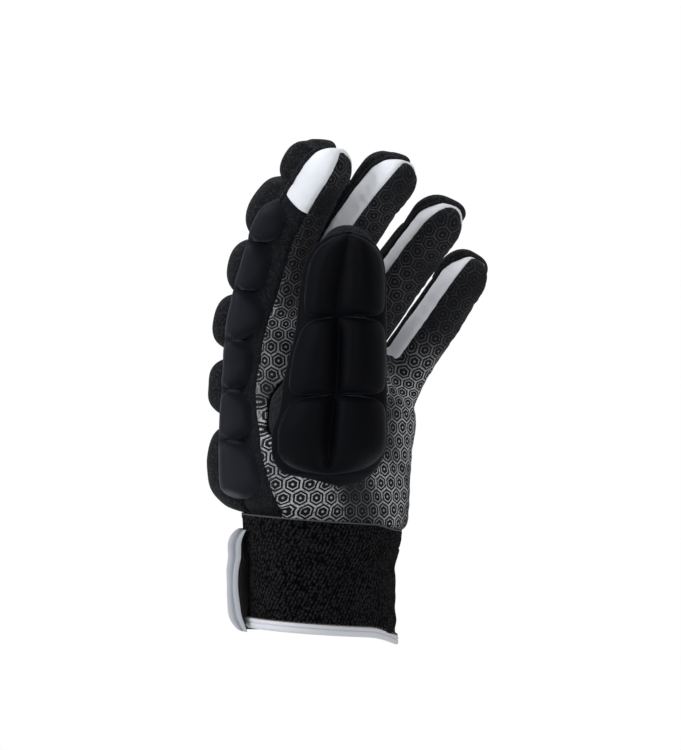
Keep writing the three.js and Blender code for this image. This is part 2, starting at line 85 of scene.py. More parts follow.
def xyz(x, y, z):
    # points from three arrays that are brought to one shape
    return np.stack(np.broadcast_arrays(x, y, z), -1)


def lengthAlong(path):
    return np.concatenate([[0], np.cumsum(np.linalg.norm(np.diff(path, axis=0), axis=1))])


def pointsAt(at, length, path):
    # a path's points at the given lengths along it
    return np.stack([np.interp(at, length, path[:, k]) for k in range(3)], -1)


def between(keys, values, at):
    # a smooth line through a short table: cubics whose slopes are the harmonic mean of their neighbours'
    keys, values = np.asarray(keys, float), np.asarray(values, float)
    rise = np.diff(values) / np.diff(keys)
    slope = np.concatenate([rise[:1], rise[:-1], rise[-1:]])
    slope[1:-1] = 0
    same = rise[:-1] * rise[1:] > 0
    both = rise[:-1] + rise[1:]
    slope[1:-1][same] = (2 * rise[:-1] * rise[1:])[same] / both[same]
    at = np.clip(at, keys[0], keys[-1])
    i = np.clip(np.searchsorted(keys, at) - 1, 0, len(keys) - 2)
    step = keys[i + 1] - keys[i]
    t = (at - keys[i]) / step
    return (values[i] * (1 + 2 * t) * (1 - t) ** 2 + slope[i] * step * t * (1 - t) ** 2
            + values[i + 1] * t * t * (3 - 2 * t) - slope[i + 1] * step * t * t * (1 - t))


def softNoise(points, size, seed):
    # the mean of seven sine waves that run in set directions, with the given wave length
    rng = np.random.default_rng(seed)
    ways = unit(rng.normal(size=(7, 3))) * (rng.uniform(0.7, 1.4, (7, 1)) * 2 * pi / size)
    return np.sin(points[..., :3] @ ways.T + rng.uniform(0, 2 * pi, 7)).mean(-1) * 1.8


def oval(turn, halfWidth, front, back, exponent):
    # an oval of cosine and sine to the power 2/exponent, with its own depth to the palm's side and the back
    rise = signedPower(np.sin(turn), 2 / exponent)
    return halfWidth * signedPower(np.cos(turn), 2 / exponent), rise * np.where(rise < 0, front, back)


# Meshes from arrays

def makeMesh(name, points, faceSets, flatFaces=None, uv=None, values=None):
    # a mesh from points in millimetres and arrays of faces, all smooth but the ones named as flat
    mesh = bpy.data.meshes.new(name)
    counts = np.concatenate([np.full(len(f), f.shape[1]) for f in faceSets])
    corners = np.concatenate([f.ravel() for f in faceSets]).astype(np.int32)
    mesh.vertices.add(len(points))
    mesh.vertices.foreach_set("co", (points * mm).astype(np.float32).ravel())
    mesh.loops.add(len(corners))
    mesh.loops.foreach_set("vertex_index", corners)
    mesh.polygons.add(len(counts))
    mesh.polygons.foreach_set("loop_start", np.concatenate([[0], np.cumsum(counts)[:-1]]).astype(np.int32))
    mesh.update(calc_edges=True)
    soft = np.ones(len(counts), bool)
    if flatFaces is not None:
        soft[flatFaces] = False
    mesh.polygons.foreach_set("use_smooth", soft)
    if uv is not None:
        mesh.uv_layers.new(name="cloth").data.foreach_set("uv", uv[corners].astype(np.float32).ravel())
    for key, value in (values or {}).items():
        mesh.attributes.new(key, "FLOAT", "POINT").data.foreach_set("value", value.astype(np.float32))
    return mesh


def addObject(name, data):
    item = bpy.data.objects.new(name, data)
    bpy.context.scene.collection.objects.link(item)
    return item


def addPiece(name, mesh, material, slot, isNode=True):
    # a piece stands for the solid of its own name, unless it is one that the solids don't have
    piece = addObject(name, mesh)
    mesh.materials.append(material)
    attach(piece, "root")
    if isNode:
        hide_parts(name)


def gridFaces(rows, columns, closedRows=False, closedColumns=False):
    # the quads of a grid of points, row after row
    r = np.arange(rows if closedRows else rows - 1)[:, None]
    c = np.arange(columns if closedColumns else columns - 1)[None]
    a, b = r * columns + c, r * columns + (c + 1) % columns
    up = ((r + 1) % rows) * columns
    return np.stack([a, b, up + (c + 1) % columns, up + c], -1).reshape(-1, 4)


def slabMesh(name, top, bottom, **more):
    # a closed body between two grids of points: both faces and the strip round their rims
    rows, columns = top.shape[:2]
    faces = gridFaces(rows, columns)
    under = rows * columns
    cells = np.arange(under).reshape(rows, columns)
    rim = np.concatenate([cells[0, :-1], cells[:-1, -1], cells[-1, :0:-1], cells[:0:-1, 0]])
    after = np.roll(rim, -1)
    strip = np.stack([rim, rim + under, after + under, after], -1)
    points = np.concatenate([top.reshape(-1, 3), bottom.reshape(-1, 3)])
    return makeMesh(name, points, [faces, faces[:, ::-1] + under, strip], **more)


def summed(index, vectors, count):
    # for each number up to the count, the sum of the vectors that carry it as their index
    return np.stack([np.bincount(index, vectors[:, k], count) for k in range(3)], -1)


def edgesOf(triangles):
    return np.concatenate([triangles[:, [0, 1]], triangles[:, [1, 2]], triangles[:, [2, 0]]])


def pointNormals(points, triangles):
    # the sum of the cross products of the triangles round each point, at length 1
    corner = points[triangles]
    face = np.cross(corner[:, 1] - corner[:, 0], corner[:, 2] - corner[:, 0])
    return unit(summed(triangles.ravel(), np.repeat(face, 3, axis=0), len(points)))


def relaxed(points, triangles, times):
    # each point goes half way to its neighbours' mean, and nearly as far back on the next turn
    own, other = edgesOf(triangles).T
    count = np.bincount(own, minlength=len(points))[:, None]
    for turn in range(times):
        mean = summed(own, points[other], len(points)) / count
        points = lerp(points, mean, 0.5 if turn % 2 == 0 else -0.35)
    return points


def cut(points, triangles, level):
    # keeps what lies above level zero; a triangle that crosses it is parted on the line
    level = np.where(np.abs(level) < 1e-6, 1e-6, level)
    above = level > 0
    count = above[triangles].sum(1)
    kept = [triangles[count == 3]]
    parts, crossing = [], []
    for number in (1, 2):
        some = triangles[count == number]
        odd = above[some] == (number == 1)
        turn = (odd.argmax(1)[:, None] + np.arange(3)) % 3
        a, b, c = np.take_along_axis(some, turn, 1).T
        parts.append((number, a, b, c))
        crossing += [np.stack([a, b], -1), np.stack([a, c], -1)]
    edges = np.sort(np.concatenate(crossing), axis=1)
    ends, place = np.unique(edges, axis=0, return_inverse=True)
    place = place.ravel() + len(points)
    share = level[ends[:, 0]] / (level[ends[:, 0]] - level[ends[:, 1]])
    added = lerp(points[ends[:, 0]], points[ends[:, 1]], share[:, None])
    start = 0
    for number, a, b, c in parts:
        ab, ac = place[start:start + len(a)], place[start + len(a):start + 2 * len(a)]
        start += 2 * len(a)
        if number == 1:
            kept.append(np.stack([a, ab, ac], -1))
        else:
            kept += [np.stack([ab, b, c], -1), np.stack([ab, c, ac], -1)]
    used, index = np.unique(np.concatenate(kept), return_inverse=True)
    return np.concatenate([points, added])[used], index.reshape(-1, 3)


def shellMesh(name, points, triangles, thickness, uv=None, values=None):
    # an open sheet given a wall: the sheet, its copy set inwards, and flat strips along the open edges
    inner = points - pointNormals(points, triangles) * thickness
    ends = edgesOf(triangles)
    key = np.sort(ends, axis=1) @ np.array([len(points), 1])
    _, first, times = np.unique(key, return_index=True, return_counts=True)
    a, b = ends[first[times == 1]].T
    under = len(points)
    rim = np.stack([a, a + under, b + under, b], -1)
    flat = np.arange(len(triangles) * 2, len(triangles) * 2 + len(rim))
    faces = [triangles, triangles[:, ::-1] + under, rim]
    return makeMesh(name, np.concatenate([points, inner]), faces, flat,
                    None if uv is None else np.tile(uv, (2, 1)),
                    {key: np.tile(value, 2) for key, value in (values or {}).items()})


def nearest(points, targets):
    # the index of each point's nearest target, in blocks
    squares = (targets ** 2).sum(1)
    return np.concatenate([(squares - 2 * block @ targets.T).argmin(1)
                           for block in np.array_split(points, len(points) // 300 + 1)])


# The flat hand and how it curls

hand = {
    "rise": [0, 0.075, 0.1, 0.2, 0.45, 0.74, 1],  # palm sections, as shares of the way to the webs
    "centreX": [0, 0, 2.4, 1.7, 2.7, 5, 5],
    "halfWidth": [35.8, 35.8, 41.5, 44.9, 46.9, 48.5, 40.5],
    "front": [25.3, 25.3, 26, 24, 19.5, 15.8, 10.5],
    "back": [25.3, 25.3, 25, 24, 21, 17, 10],
    "power": [2.2, 2.2, 2.4, 2.6, 2.8, 2.9, 2.6],
    "fromZ": 46, "sagRight": 7.5, "sagLeft": 4,
    "voxel": 1.05, "wall": 1.2,
}
fingers = [
    {"name": "index", "knuckleX": -32, "knuckleZ": 144.5, "splay": 0.3, "length": 90, "width": 24,
     "front": 12, "back": 10, "lift": 0, "roll": 5.5, "bends": [21.5, 17, 5]},
    {"name": "middle", "knuckleX": -8, "knuckleZ": 142, "splay": 3, "length": 96.7, "width": 23.5,
     "front": 12, "back": 10, "lift": 2.4, "roll": -7.5, "bends": [35.5, 9, 4.5]},
    {"name": "ring", "knuckleX": 19, "knuckleZ": 131, "splay": 9.8, "length": 86.2, "width": 23,
     "front": 12, "back": 10, "lift": 0.8, "roll": -15, "bends": [39.5, 2, 3]},
    {"name": "little", "knuckleX": 43.5, "knuckleZ": 113, "splay": 18.5, "length": 72.0, "width": 23,
     "front": 11.5, "back": 9.5, "lift": 0, "roll": -7, "bends": [31, 0, 0]},
]
index, middle, ring, little = fingers
fingerForm = {"taper": 0.1, "tipRound": 14, "power": 2.5, "tipWide": 0.85, "tipFront": 0.8, "tipBack": 1.8}
joints = {"share": [0, 0.46, 0.74], "reach": [26, 20, 16]}
rollReach, rollEnd, webReach = 80, 10, 60
thumbYaw = radians(-42)


def webLine(x):
    # the webs' height: a falling line less a share of the distance from the hand's middle
    return 158.5 - 0.55 * (x - 5) - 0.32 * np.hypot(x - 5, 8)


def palmSize(column, rise):
    return between(hand["rise"], hand[column], rise)


def palmOval(turn, rise, grow=0):
    return oval(turn, palmSize("halfWidth", rise) + grow, palmSize("front", rise) + grow,
                palmSize("back", rise) + grow, palmSize("power", rise))


def palmZ(rise, x):
    return hand["fromZ"] + rise * (webLine(x) - hand["fromZ"])


def fingerScale(finger, along):
    return 1 - fingerForm["taper"] * np.maximum(along, 0) / finger["length"]


def onFinger(finger, along, across, height):
    # a point of the flat hand from a distance along a finger, across it and above its middle plane
    splay = radians(finger["splay"])
    return xyz(finger["knuckleX"] + along * sin(splay) + across * cos(splay), height,
               finger["knuckleZ"] + along * cos(splay) - across * sin(splay))


def fromFinger(finger, points):
    splay = radians(finger["splay"])
    x, z = points[..., 0] - finger["knuckleX"], points[..., 2] - finger["knuckleZ"]
    return x * sin(splay) + z * cos(splay), x * cos(splay) - z * sin(splay)


def curl(finger, along):
    # forward and drop sum the cosine and sine of the joints' angle; each joint eases in over its reach
    start = -joints["reach"][0] / 2
    s = np.linspace(start, 130, 600)
    angle = sum(radians(bend) * smooth((s - share * finger["length"]) / reach + 0.5)
                for bend, share, reach in zip(finger["bends"], joints["share"], joints["reach"]))
    middle = (angle[1:] + angle[:-1]) / 2
    forward = start + np.concatenate([[0], np.cumsum(np.cos(middle)) * (s[1] - s[0])])
    drop = np.concatenate([[0], np.cumsum(np.sin(middle)) * (s[1] - s[0])])
    bent = along >= start
    return (np.where(bent, np.interp(along, s, forward), along), bent * np.interp(along, s, drop),
            bent * np.interp(along, s, angle))


def poseByFinger(finger, points):
    # a point is rolled about the finger's own line and carried along the curl at its height over it
    along, across = fromFinger(finger, points)
    share = smooth((along + rollReach - rollEnd) / rollReach)
    roll = radians(finger["roll"]) * share
    side = across * np.cos(roll) - points[..., 1] * np.sin(roll)
    height = across * np.sin(roll) + points[..., 1] * np.cos(roll)
    forward, drop, angle = curl(finger, along)
    return onFinger(finger, forward + height * np.sin(angle), side,
                    finger["lift"] * share - drop + height * np.cos(angle))


def nearness(points):
    # how much each finger counts at a point: bells across the fingers, wide in the palm, narrow past it
    nearWebs = smooth((points[..., 2] - webLine(points[..., 0]) + webReach) / (webReach + 15))
    width = lerp(14, 4.2, nearWebs)
    offsets = np.stack([(fromFinger(finger, points)[1] / width) ** 2 for finger in fingers])
    weights = np.exp(offsets.min(0) - offsets)
    return weights / weights.sum(0)


def pose(points):
    # the fingers' own poses, mixed by nearness
    return sum(weight[..., None] * poseByFinger(finger, points)
               for weight, finger in zip(nearness(points), fingers))


# The skin: palm and fingers as one smooth body

def palmGrid():
    # rings of the palm's oval from the wrist to the webs; the lowest rings sag on both sides of the view
    rise = np.linspace(0, 1, 64)[:, None]
    across, depth = palmOval(fullTurn(96)[None], rise)
    x = palmSize("centreX", rise) + across
    viewRight = across * cos(thumbYaw) + depth * sin(thumbYaw)
    sag = hand["sagRight"] * smooth((viewRight + 2) / 30) * (1 - smooth((rise - 0.06) / 0.2))
    sag = sag + hand["sagLeft"] * smooth((-viewRight - 33) / 5) * (1 - smooth((rise - 0.02) / 0.12))
    return xyz(x, depth, np.where(rise == 0, hand["fromZ"] - 8, palmZ(rise, x) - sag))


def fingerSkin(finger, run, turn, grow=0.0):
    # the oval at a run up the finger; past the tip's start the run turns over a quarter circle, and the
    # width, front and back close on the turn's cosine to their own powers
    start, tip = finger["length"] - fingerForm["tipRound"], fingerForm["tipRound"]
    bend = np.clip((run - start) / tip, 0, radians(89))
    along = np.minimum(run, start) + tip * np.sin(bend)
    scale, closing = fingerScale(finger, along), np.cos(bend)
    sizes = [size * scale * closing ** fingerForm[tipPower] + grow for size, tipPower in (
        (finger["width"] / 2, "tipWide"), (finger["front"], "tipFront"), (finger["back"], "tipBack"))]
    return onFinger(finger, along, *oval(turn, *sizes, fingerForm["power"]))


def fingerGrid(finger):
    # rings up the finger, at even steps to the tip's start and at even turns over the tip
    start, tip = finger["length"] - fingerForm["tipRound"], fingerForm["tipRound"]
    overTip = start + tip * np.radians(np.linspace(0, 88, 14)[1:])
    run = np.concatenate([np.linspace(-14, start, 44), overTip])
    return fingerSkin(finger, run[:, None], fullTurn(56)[None])


def closedTube(grid):
    # the faces of rings in a row, each end closed on its own middle point
    rows, columns = grid.shape[:2]
    points = np.concatenate([grid.reshape(-1, 3), grid[:1].mean(1), grid[-1:].mean(1)])
    first, last = np.arange(columns), np.arange(columns) + (rows - 1) * columns
    low = np.stack([np.full(columns, rows * columns), np.roll(first, -1), first], -1)
    high = np.stack([np.full(columns, rows * columns + 1), last, np.roll(last, -1)], -1)
    return points, gridFaces(rows, columns, closedColumns=True), np.concatenate([low, high])


def unitedHand():
    # the closed tubes are put in one mesh, remeshed to one body on a fine grid, and relaxed
    points, quads, fans, start = [], [], [], 0
    for grid in [palmGrid()] + [fingerGrid(finger) for finger in fingers]:
        some, square, fan = closedTube(grid)
        points.append(some)
        quads.append(square + start)
        fans.append(fan + start)
        start += len(some)
    mesh = makeMesh("flatHand", np.concatenate(points), [np.concatenate(quads), np.concatenate(fans)])
    work = addObject("flatHand", mesh)
    remesh = work.modifiers.new("remesh", "REMESH")
    remesh.mode = "VOXEL"
    remesh.voxel_size = hand["voxel"] * mm
    smoothed = work.evaluated_get(bpy.context.evaluated_depsgraph_get()).to_mesh()
    smoothed.calc_loop_triangles()
    found = np.empty(len(smoothed.vertices) * 3, np.float32)
    smoothed.vertices.foreach_get("co", found)
    triangles = np.empty(len(smoothed.loop_triangles) * 3, np.int32)
    smoothed.loop_triangles.foreach_get("vertices", triangles)
    bpy.data.objects.remove(work)
    triangles = triangles.reshape(-1, 3)
    return relaxed(found.reshape(-1, 3).astype(float) / mm, triangles, 14), triangles


seams = {
    # heights over the flat hand's middle plane, from the index finger's outer side to the little one's
    "palm": [-9, -7.2, -4.6, -6.5, -6.5],
    "back": [6, 6.2, 4.6, 5.6, 5.6],
    "sideZ": [30, 62, 90, 110, 145, 160, 275],  # beside the palm the first value goes by height up the hand
    "palmSide": [-13, -11, -5, -3, -8, -9, -9],
    "backSide": [12, 12, 12, 12, 8, 6, 6],
    "tipPalm": [0, 1, 0, 2.5],  # where the palm's seam passes over each fingertip
    "groove": 0.5, "grooveHalf": 0.8,
    "stripFromZ": 203.7, "stripSlant": 0.08,
}
skin = {"waves": 0.28, "ripples": 0.12, "crease": 0.45, "secondCrease": 0.25}


def besidePalm(side, z):
    return between(seams["sideZ"], seams[side + "Side"], z)


def aboveSeam(side, points):
    # how far a point lies past a seam towards the back; each finger's two heights are mixed across it,
    # and the fingers are mixed by nearness
    alongSide = besidePalm(side, points[..., 2])
    total = 0
    for i, (weight, finger) in enumerate(zip(nearness(points), fingers)):
        low = alongSide if i == 0 else seams[side][i]
        along, across = fromFinger(finger, points)
        level = lerp(low, seams[side][i + 1], smooth((across + 4) / 8))
        if side == "palm":
            tip = fingerForm["tipRound"]
            closing = np.sqrt(1 - np.clip((along - finger["length"] + tip) / tip, 0, 1) ** 2)
            level = lerp(seams["tipPalm"][i], level, closing ** 0.8)
        total = total + weight * level
    return points[..., 1] - total


flatPoints, flatTriangles = unitedHand()
flatNormals = pointNormals(flatPoints, flatTriangles)
print("flat hand:", len(flatPoints), "points")


def clothRelief(points):
    # bells along both seams, two sizes of noise, and two bells across each joint on the palm's side
    grooves = sum(hump(aboveSeam(side, points), seams["grooveHalf"]) for side in ("palm", "back"))
    relief = -seams["groove"] * grooves
    relief += skin["waves"] * softNoise(points, 17, 3) + skin["ripples"] * softNoise(points, 6, 4)
    onPalm = nearness(points) * smooth((-points[:, 1] - 2) / 5)
    for weight, finger in zip(onPalm, fingers):
        for share in joints["share"][1:]:
            past = fromFinger(finger, points)[0] - share * finger["length"]
            creases = skin["crease"] * hump(past, 1.6) + skin["secondCrease"] * hump(past - 4.5, 1.3)
            relief -= weight * creases
    return relief


# The thumb's own frame: u to the thumb view's right, v away from it, and z up
thumb = {
    "z": [56, 66, 70, 74, 86, 105, 130, 155, 170],
    "centreU": [0, 1, 1.5, 2, 3.5, 6.5, 9.5, 11, 11.5],
    "centreV": [-8, -15, -21, -27, -36, -41, -45, -49, -51],
    "halfWidth": [4, 6.5, 12, 16.3, 18.5, 17, 15, 14, 13],
    "halfDepth": [3, 9, 11.5, 13.5, 14, 14, 13.5, 12.5, 11.5],
    "tipZ": 186, "round": 14, "power": 2.3, "wall": 1.2,
    "lift": 3.5, "foldLift": 2.2,  # how far the palm's cloth is drawn up to the thumb, and at its fold
    "flare": 2.2,  # how far the stall widens where it comes out of the palm
    "rootZ": [64, 74, 82, 90, 98, 106, 114.5, 122, 130],  # the root stands out to the left by rootOut
    "rootOut": [0, 3, 7.5, 10.8, 13, 13.8, 10.4, 3.4, 0],
}


def thumbSize(column, z):
    return between(thumb["z"], thumb[column], z)


def toHand(u, v, z):
    return xyz(u * cos(thumbYaw) - v * sin(thumbYaw), u * sin(thumbYaw) + v * cos(thumbYaw), z)


def toThumb(points):
    x, y = points[..., 0], points[..., 1]
    return x * cos(thumbYaw) + y * sin(thumbYaw), y * cos(thumbYaw) - x * sin(thumbYaw), points[..., 2]


def rootBulge(turn, z):
    # a bell round the oval, as high as the root stands out there
    return between(thumb["rootZ"], thumb["rootOut"], z) * hump(turn - radians(158), radians(34))


def offThumb(points):
    # about how far a point lies outside the thumb's oval and its bulge at its own height
    u, v, z = toThumb(points)
    width, depth, exponent = thumbSize("halfWidth", z), thumbSize("halfDepth", z), thumb["power"]
    across, rise = u - thumbSize("centreU", z), v - thumbSize("centreV", z)
    across = across + rootBulge(np.arctan2(rise / depth, across / width) % (2 * pi), z)
    reach = (np.abs(across / width) ** exponent + np.abs(rise / depth) ** exponent) ** (1 / exponent)
    return (reach - 1) * np.sqrt(width * depth)


def worn(flat, relief=0):
    # a skin point in the glove's real shape: curled, and drawn up to the thumb beside its root
    place = pose(flat[:, :3] + flat[:, 3:6] * np.reshape(relief, (-1, 1)))
    root = smooth((place[:, 2] - 56) / 14) * smooth((128 - place[:, 2]) / 20)
    off = offThumb(place)
    lift = thumb["lift"] * root * smooth((-flat[:, 1] - 2) / 8) * np.exp(-np.maximum(off, 0) / 5)
    lift += thumb["foldLift"] * besideSlit(place) * np.exp(-(np.maximum(off - 1, 0) / 4) ** 2)
    place[:, 1] -= lift
    return place


def besideSlit(place):
    # 1 on the left of the thumb's root, where a fold of the palm's cloth stands open
    u, _, z = toThumb(place)
    return smooth((thumbSize("centreU", z) - 4 - u) / 4) * smooth((z - 84) / 8) * smooth((123 - z) / 8)


# Surface finishes

def newMaterial(name, settings):
    # a material with its fixed values, and the calls that add nodes to it: an input given a socket is
    # linked and any other is set; patterns lie on the piece's own place, or on its uv map
    material = bpy.data.materials.new(name)
    material.use_nodes = True
    material.diffuse_color = (*settings["colour"], 1)
    tree = material.node_tree

    def fillIn(node, inputs):
        for key, value in inputs.items():
            if isinstance(value, bpy.types.NodeSocket):
                tree.links.new(value, node.inputs[key])
            else:
                node.inputs[key].default_value = value

    def add(kind, inputs=None, **options):
        node = tree.nodes.new(kind)
        for key, value in options.items():
            setattr(node, key, value)
        fillIn(node, inputs or {})
        return node.outputs

    def finished(**inputs):
        named = {key.replace("_", " "): value for key, value in inputs.items()}
        fillIn(tree.nodes["Principled BSDF"], named)
        return material

    def maths(operation, *values):
        return add("ShaderNodeMath", dict(enumerate(values)), operation=operation)[0]

    def vector(operation, *values):
        return add("ShaderNodeVectorMath", dict(enumerate(values)), operation=operation)

    def noise(scale, detail=2.0, roughness=0.5):
        return add("ShaderNodeTexNoise", {"Vector": place, "Scale": scale, "Detail": detail,
                                          "Roughness": roughness})["Fac"]

    def spread(value, low, high, toLow=0, toHigh=1):
        return add("ShaderNodeMapRange", {"Value": value, "From Min": low, "From Max": high,
                                          "To Min": toLow, "To Max": toHigh})[0]

    def mixed(share, *colours):
        first, second = [(*colour, 1) if isinstance(colour, tuple) else colour for colour in colours]
        return add("ShaderNodeMix", {0: share, 6: first, 7: second}, data_type="RGBA")[2]

    def bump(height, distance, strength=1.0, **below):
        return add("ShaderNodeBump", {"Height": height, "Distance": distance * mm, "Strength": strength,
                                      **below})[0]

    def knit(pitch):
        # the fine rows of a knit: the product of two sines, one across and one up
        x, y, z = add("ShaderNodeSeparateXYZ", {0: place})
        rate = 2 * pi / (pitch * mm)
        across = maths("SINE", maths("MULTIPLY", maths("ADD", x, y), rate))
        return maths("MULTIPLY", across, maths("SINE", maths("MULTIPLY", z, rate * 1.3)))

    def attribute(key):
        return add("ShaderNodeAttribute", attribute_name=key)["Fac"]

    place = add("ShaderNodeTexCoord")["Object"]
    finished(Base_Color=(*settings["colour"], 1), Roughness=settings["roughness"],
             Specular_IOR_Level=settings.get("specular", 0.3), Sheen_Weight=settings.get("sheen", 0),
             Sheen_Roughness=settings.get("sheenRoughness", 0.4),
             Sheen_Tint=(*settings.get("sheenTint", (1, 1, 1)), 1))
    return SimpleNamespace(material=material, place=place, add=add, finished=finished, maths=maths,
                           vector=vector, noise=noise, spread=spread, mixed=mixed, bump=bump, knit=knit,
                           attribute=attribute)


def smoothCloth(name, settings):
    # a close smooth knit: fine rows, slow changes of tone and a soft sheen, darker where painted shade is
    # laid on
    cloth = newMaterial(name, settings)
    slow = cloth.maths("MULTIPLY", cloth.noise(45), 0.5)
    tone = cloth.maths("MULTIPLY_ADD", cloth.noise(1900, 1.0), 0.5, slow)
    colour = cloth.mixed(tone, settings["shade"], settings["colour"])
    # painted shade: where the piece asks for it, the colour is mixed towards a near-black
    if "lining" in settings:
        colour = cloth.mixed(cloth.attribute("lining"), colour, settings["lining"])
    knit = cloth.bump(cloth.knit(settings["pitch"]), settings["depth"], 0.6)
    soft = cloth.bump(cloth.noise(160, 3.0), settings["soft"], 0.5, Normal=knit)
    return cloth.finished(Base_Color=colour, Normal=soft)


def heatherCloth(name, settings):
    # a knit of dark and light yarns: specks of two sizes over fine rows
    cloth = newMaterial(name, settings)
    fine = cloth.noise(1500, 2.0, 0.7)
    patch = cloth.maths("MULTIPLY_ADD", cloth.spread(cloth.noise(420, 3.0, 0.6), 0.3, 0.7), 0.7, 0.3)
    amount = cloth.maths("MULTIPLY", cloth.spread(fine, 0.46, 0.66), patch)
    knit = cloth.bump(cloth.knit(settings["pitch"]), settings["depth"], 0.7)
    return cloth.finished(Base_Color=cloth.mixed(amount, settings["colour"], settings["speck"]),
                          Normal=cloth.bump(fine, 0.12, 0.6, Normal=knit))


def printedCloth(name, settings):
    # dark cloth under a worn honeycomb print: the nearer of two sets of middles cuts it in hexagons, and
    # each line stands at a share of the way from its hexagon's middle to the side
    cloth = newMaterial(name, settings)
    maths, vector, spread = cloth.maths, cloth.vector, cloth.spread
    cells, tall = clothMap["size"] / settings["cell"], sin(pi / 3)
    flat = vector("MULTIPLY", cloth.add("ShaderNodeUVMap", uv_map="cloth")[0], (cells, cells, 0))[0]
    high, low = (0.5, tall, 0.5), (-0.5, -tall, -0.5)
    first = vector("WRAP", flat, high, low)[0]
    second = vector("WRAP", vector("ADD", flat, (0.5, tall, 0))[0], high, low)[0]
    nearer = maths("LESS_THAN", vector("DOT_PRODUCT", first, first)["Value"],
                   vector("DOT_PRODUCT", second, second)["Value"])
    chosen = cloth.add("ShaderNodeMix", {0: nearer, 4: second, 5: first}, data_type="VECTOR")[1]
    size = vector("ABSOLUTE", chosen)[0]
    reach = maths("MAXIMUM", vector("DOT_PRODUCT", size, (0.5, tall, 0))["Value"],
                  cloth.add("ShaderNodeSeparateXYZ", {0: size})[0])
    lines = 0.0
    for at, width in settings["lines"]:
        off = maths("ABSOLUTE", maths("SUBTRACT", reach, at))
        lines = maths("MAXIMUM", lines, spread(off, width, width * 0.55))
    worn = spread(cloth.noise(700, 3.0, 0.7), 0.3, 0.5)
    # the ink follows the print's strength attribute, which holds real wear together with painted gloss and
    # shade
    ink = maths("MULTIPLY", maths("MULTIPLY", lines, worn), cloth.attribute("printStrength"))
    ground = cloth.mixed(cloth.noise(900), settings["colour"], settings["shade"])
    weave = cloth.bump(cloth.knit(0.7), 0.1, 0.6)
    return cloth.finished(Base_Color=cloth.mixed(ink, ground, settings["ink"]),
                          Roughness=spread(ink, 0, 1, settings["roughness"], settings["inkRoughness"]),
                          Normal=cloth.bump(lines, 0.14, 0.8, Normal=weave))


def pileCloth(name, settings):
    # elastic loop cloth: small round loops in slanted rows, uneven in height, with fibres over them
    cloth = newMaterial(name, settings)
    maths = cloth.maths
    right, up, _ = cloth.add("ShaderNodeSeparateXYZ", {0: cloth.add("ShaderNodeUVMap", uv_map="cloth")[0]})
    right, up = maths("MULTIPLY", right, clothMap["size"]), maths("MULTIPLY", up, clothMap["size"])
    row = maths("MULTIPLY", maths("MULTIPLY_ADD", up, -0.5, right), 2 * pi / settings["rib"])
    rib = maths("SINE", maths("ADD", row, maths("MULTIPLY", cloth.noise(330), 3.5)))
    cells = cloth.add("ShaderNodeTexVoronoi", {"Vector": cloth.place, "Scale": 1 / (settings["loop"] * mm),
                                               "Randomness": 0.85})["Distance"]
    height = maths("MULTIPLY_ADD", cloth.noise(1700, 3.0, 0.7), 0.6, maths("SUBTRACT", 0.75, cells))
    height = maths("MULTIPLY_ADD", cloth.noise(120), 0.3, maths("MULTIPLY_ADD", rib, 0.16, height))
    # the loops' colour is lighter on their tops and darker between them: painted highlight and painted shade,
    # over random fibre specks
    light = cloth.spread(height, 0.55, 1.2)
    return cloth.finished(Base_Color=cloth.mixed(light, settings["colour"], settings["speck"]),
                          Normal=cloth.bump(height, 0.8))


def thread(name, colour, shade, roughness):
    cloth = newMaterial(name, {"colour": colour, "roughness": roughness})
    twist = cloth.noise(2500, 1.0)
    return cloth.finished(Base_Color=cloth.mixed(twist, colour, shade), Normal=cloth.bump(twist, 0.05))


clothMap = {"size": 300, "left": 110}  # the uv map's span in millimetres, and where the hand's middle lies
padCloth = smoothCloth("padCloth", {
    "colour": (0.0019, 0.0021, 0.0034), "shade": (0.0012, 0.0013, 0.0022), "roughness": 0.5,
    "specular": 0.04, "sheen": 0.085, "sheenRoughness": 0.22, "sheenTint": (0.75, 0.82, 1),
    "pitch": 0.55, "depth": 0.05, "soft": 0.25})
# a lighter copy of the pad cloth for the side lobes: the extra lightness is painted light, where the lobes
# catch the light from the left
paintedLitPadCloth = smoothCloth("paintedLitPadCloth", {
    "colour": (0.0135, 0.0143, 0.0185), "shade": (0.0092, 0.0098, 0.0132), "roughness": 0.5,
    "specular": 0.05, "sheen": 0.2, "sheenRoughness": 0.25, "sheenTint": (0.7, 0.78, 1),
    "pitch": 0.55, "depth": 0.05, "soft": 0.25})
whiteCloth = smoothCloth("whiteCloth", {
    "colour": (0.69, 0.70, 0.73), "shade": (0.62, 0.635, 0.67), "roughness": 0.55, "sheen": 0.1,
    "pitch": 0.6, "depth": 0.05, "soft": 0.2})
bindingCloth = smoothCloth("bindingCloth", {
    "colour": (0.58, 0.585, 0.61), "shade": (0.50, 0.51, 0.54), "roughness": 0.5, "sheen": 0.05,
    "pitch": 0.5, "depth": 0.04, "soft": 0.15})
# the tab's near-black third colour is painted shade, used in its groove and on its inner face
tabCloth = smoothCloth("tabCloth", {
    "colour": (0.42, 0.435, 0.47), "shade": (0.35, 0.365, 0.40), "lining": (0.0008, 0.0008, 0.001),
    "roughness": 0.6, "specular": 0.25, "sheen": 0.1, "pitch": 0.6, "depth": 0.05, "soft": 0.2})
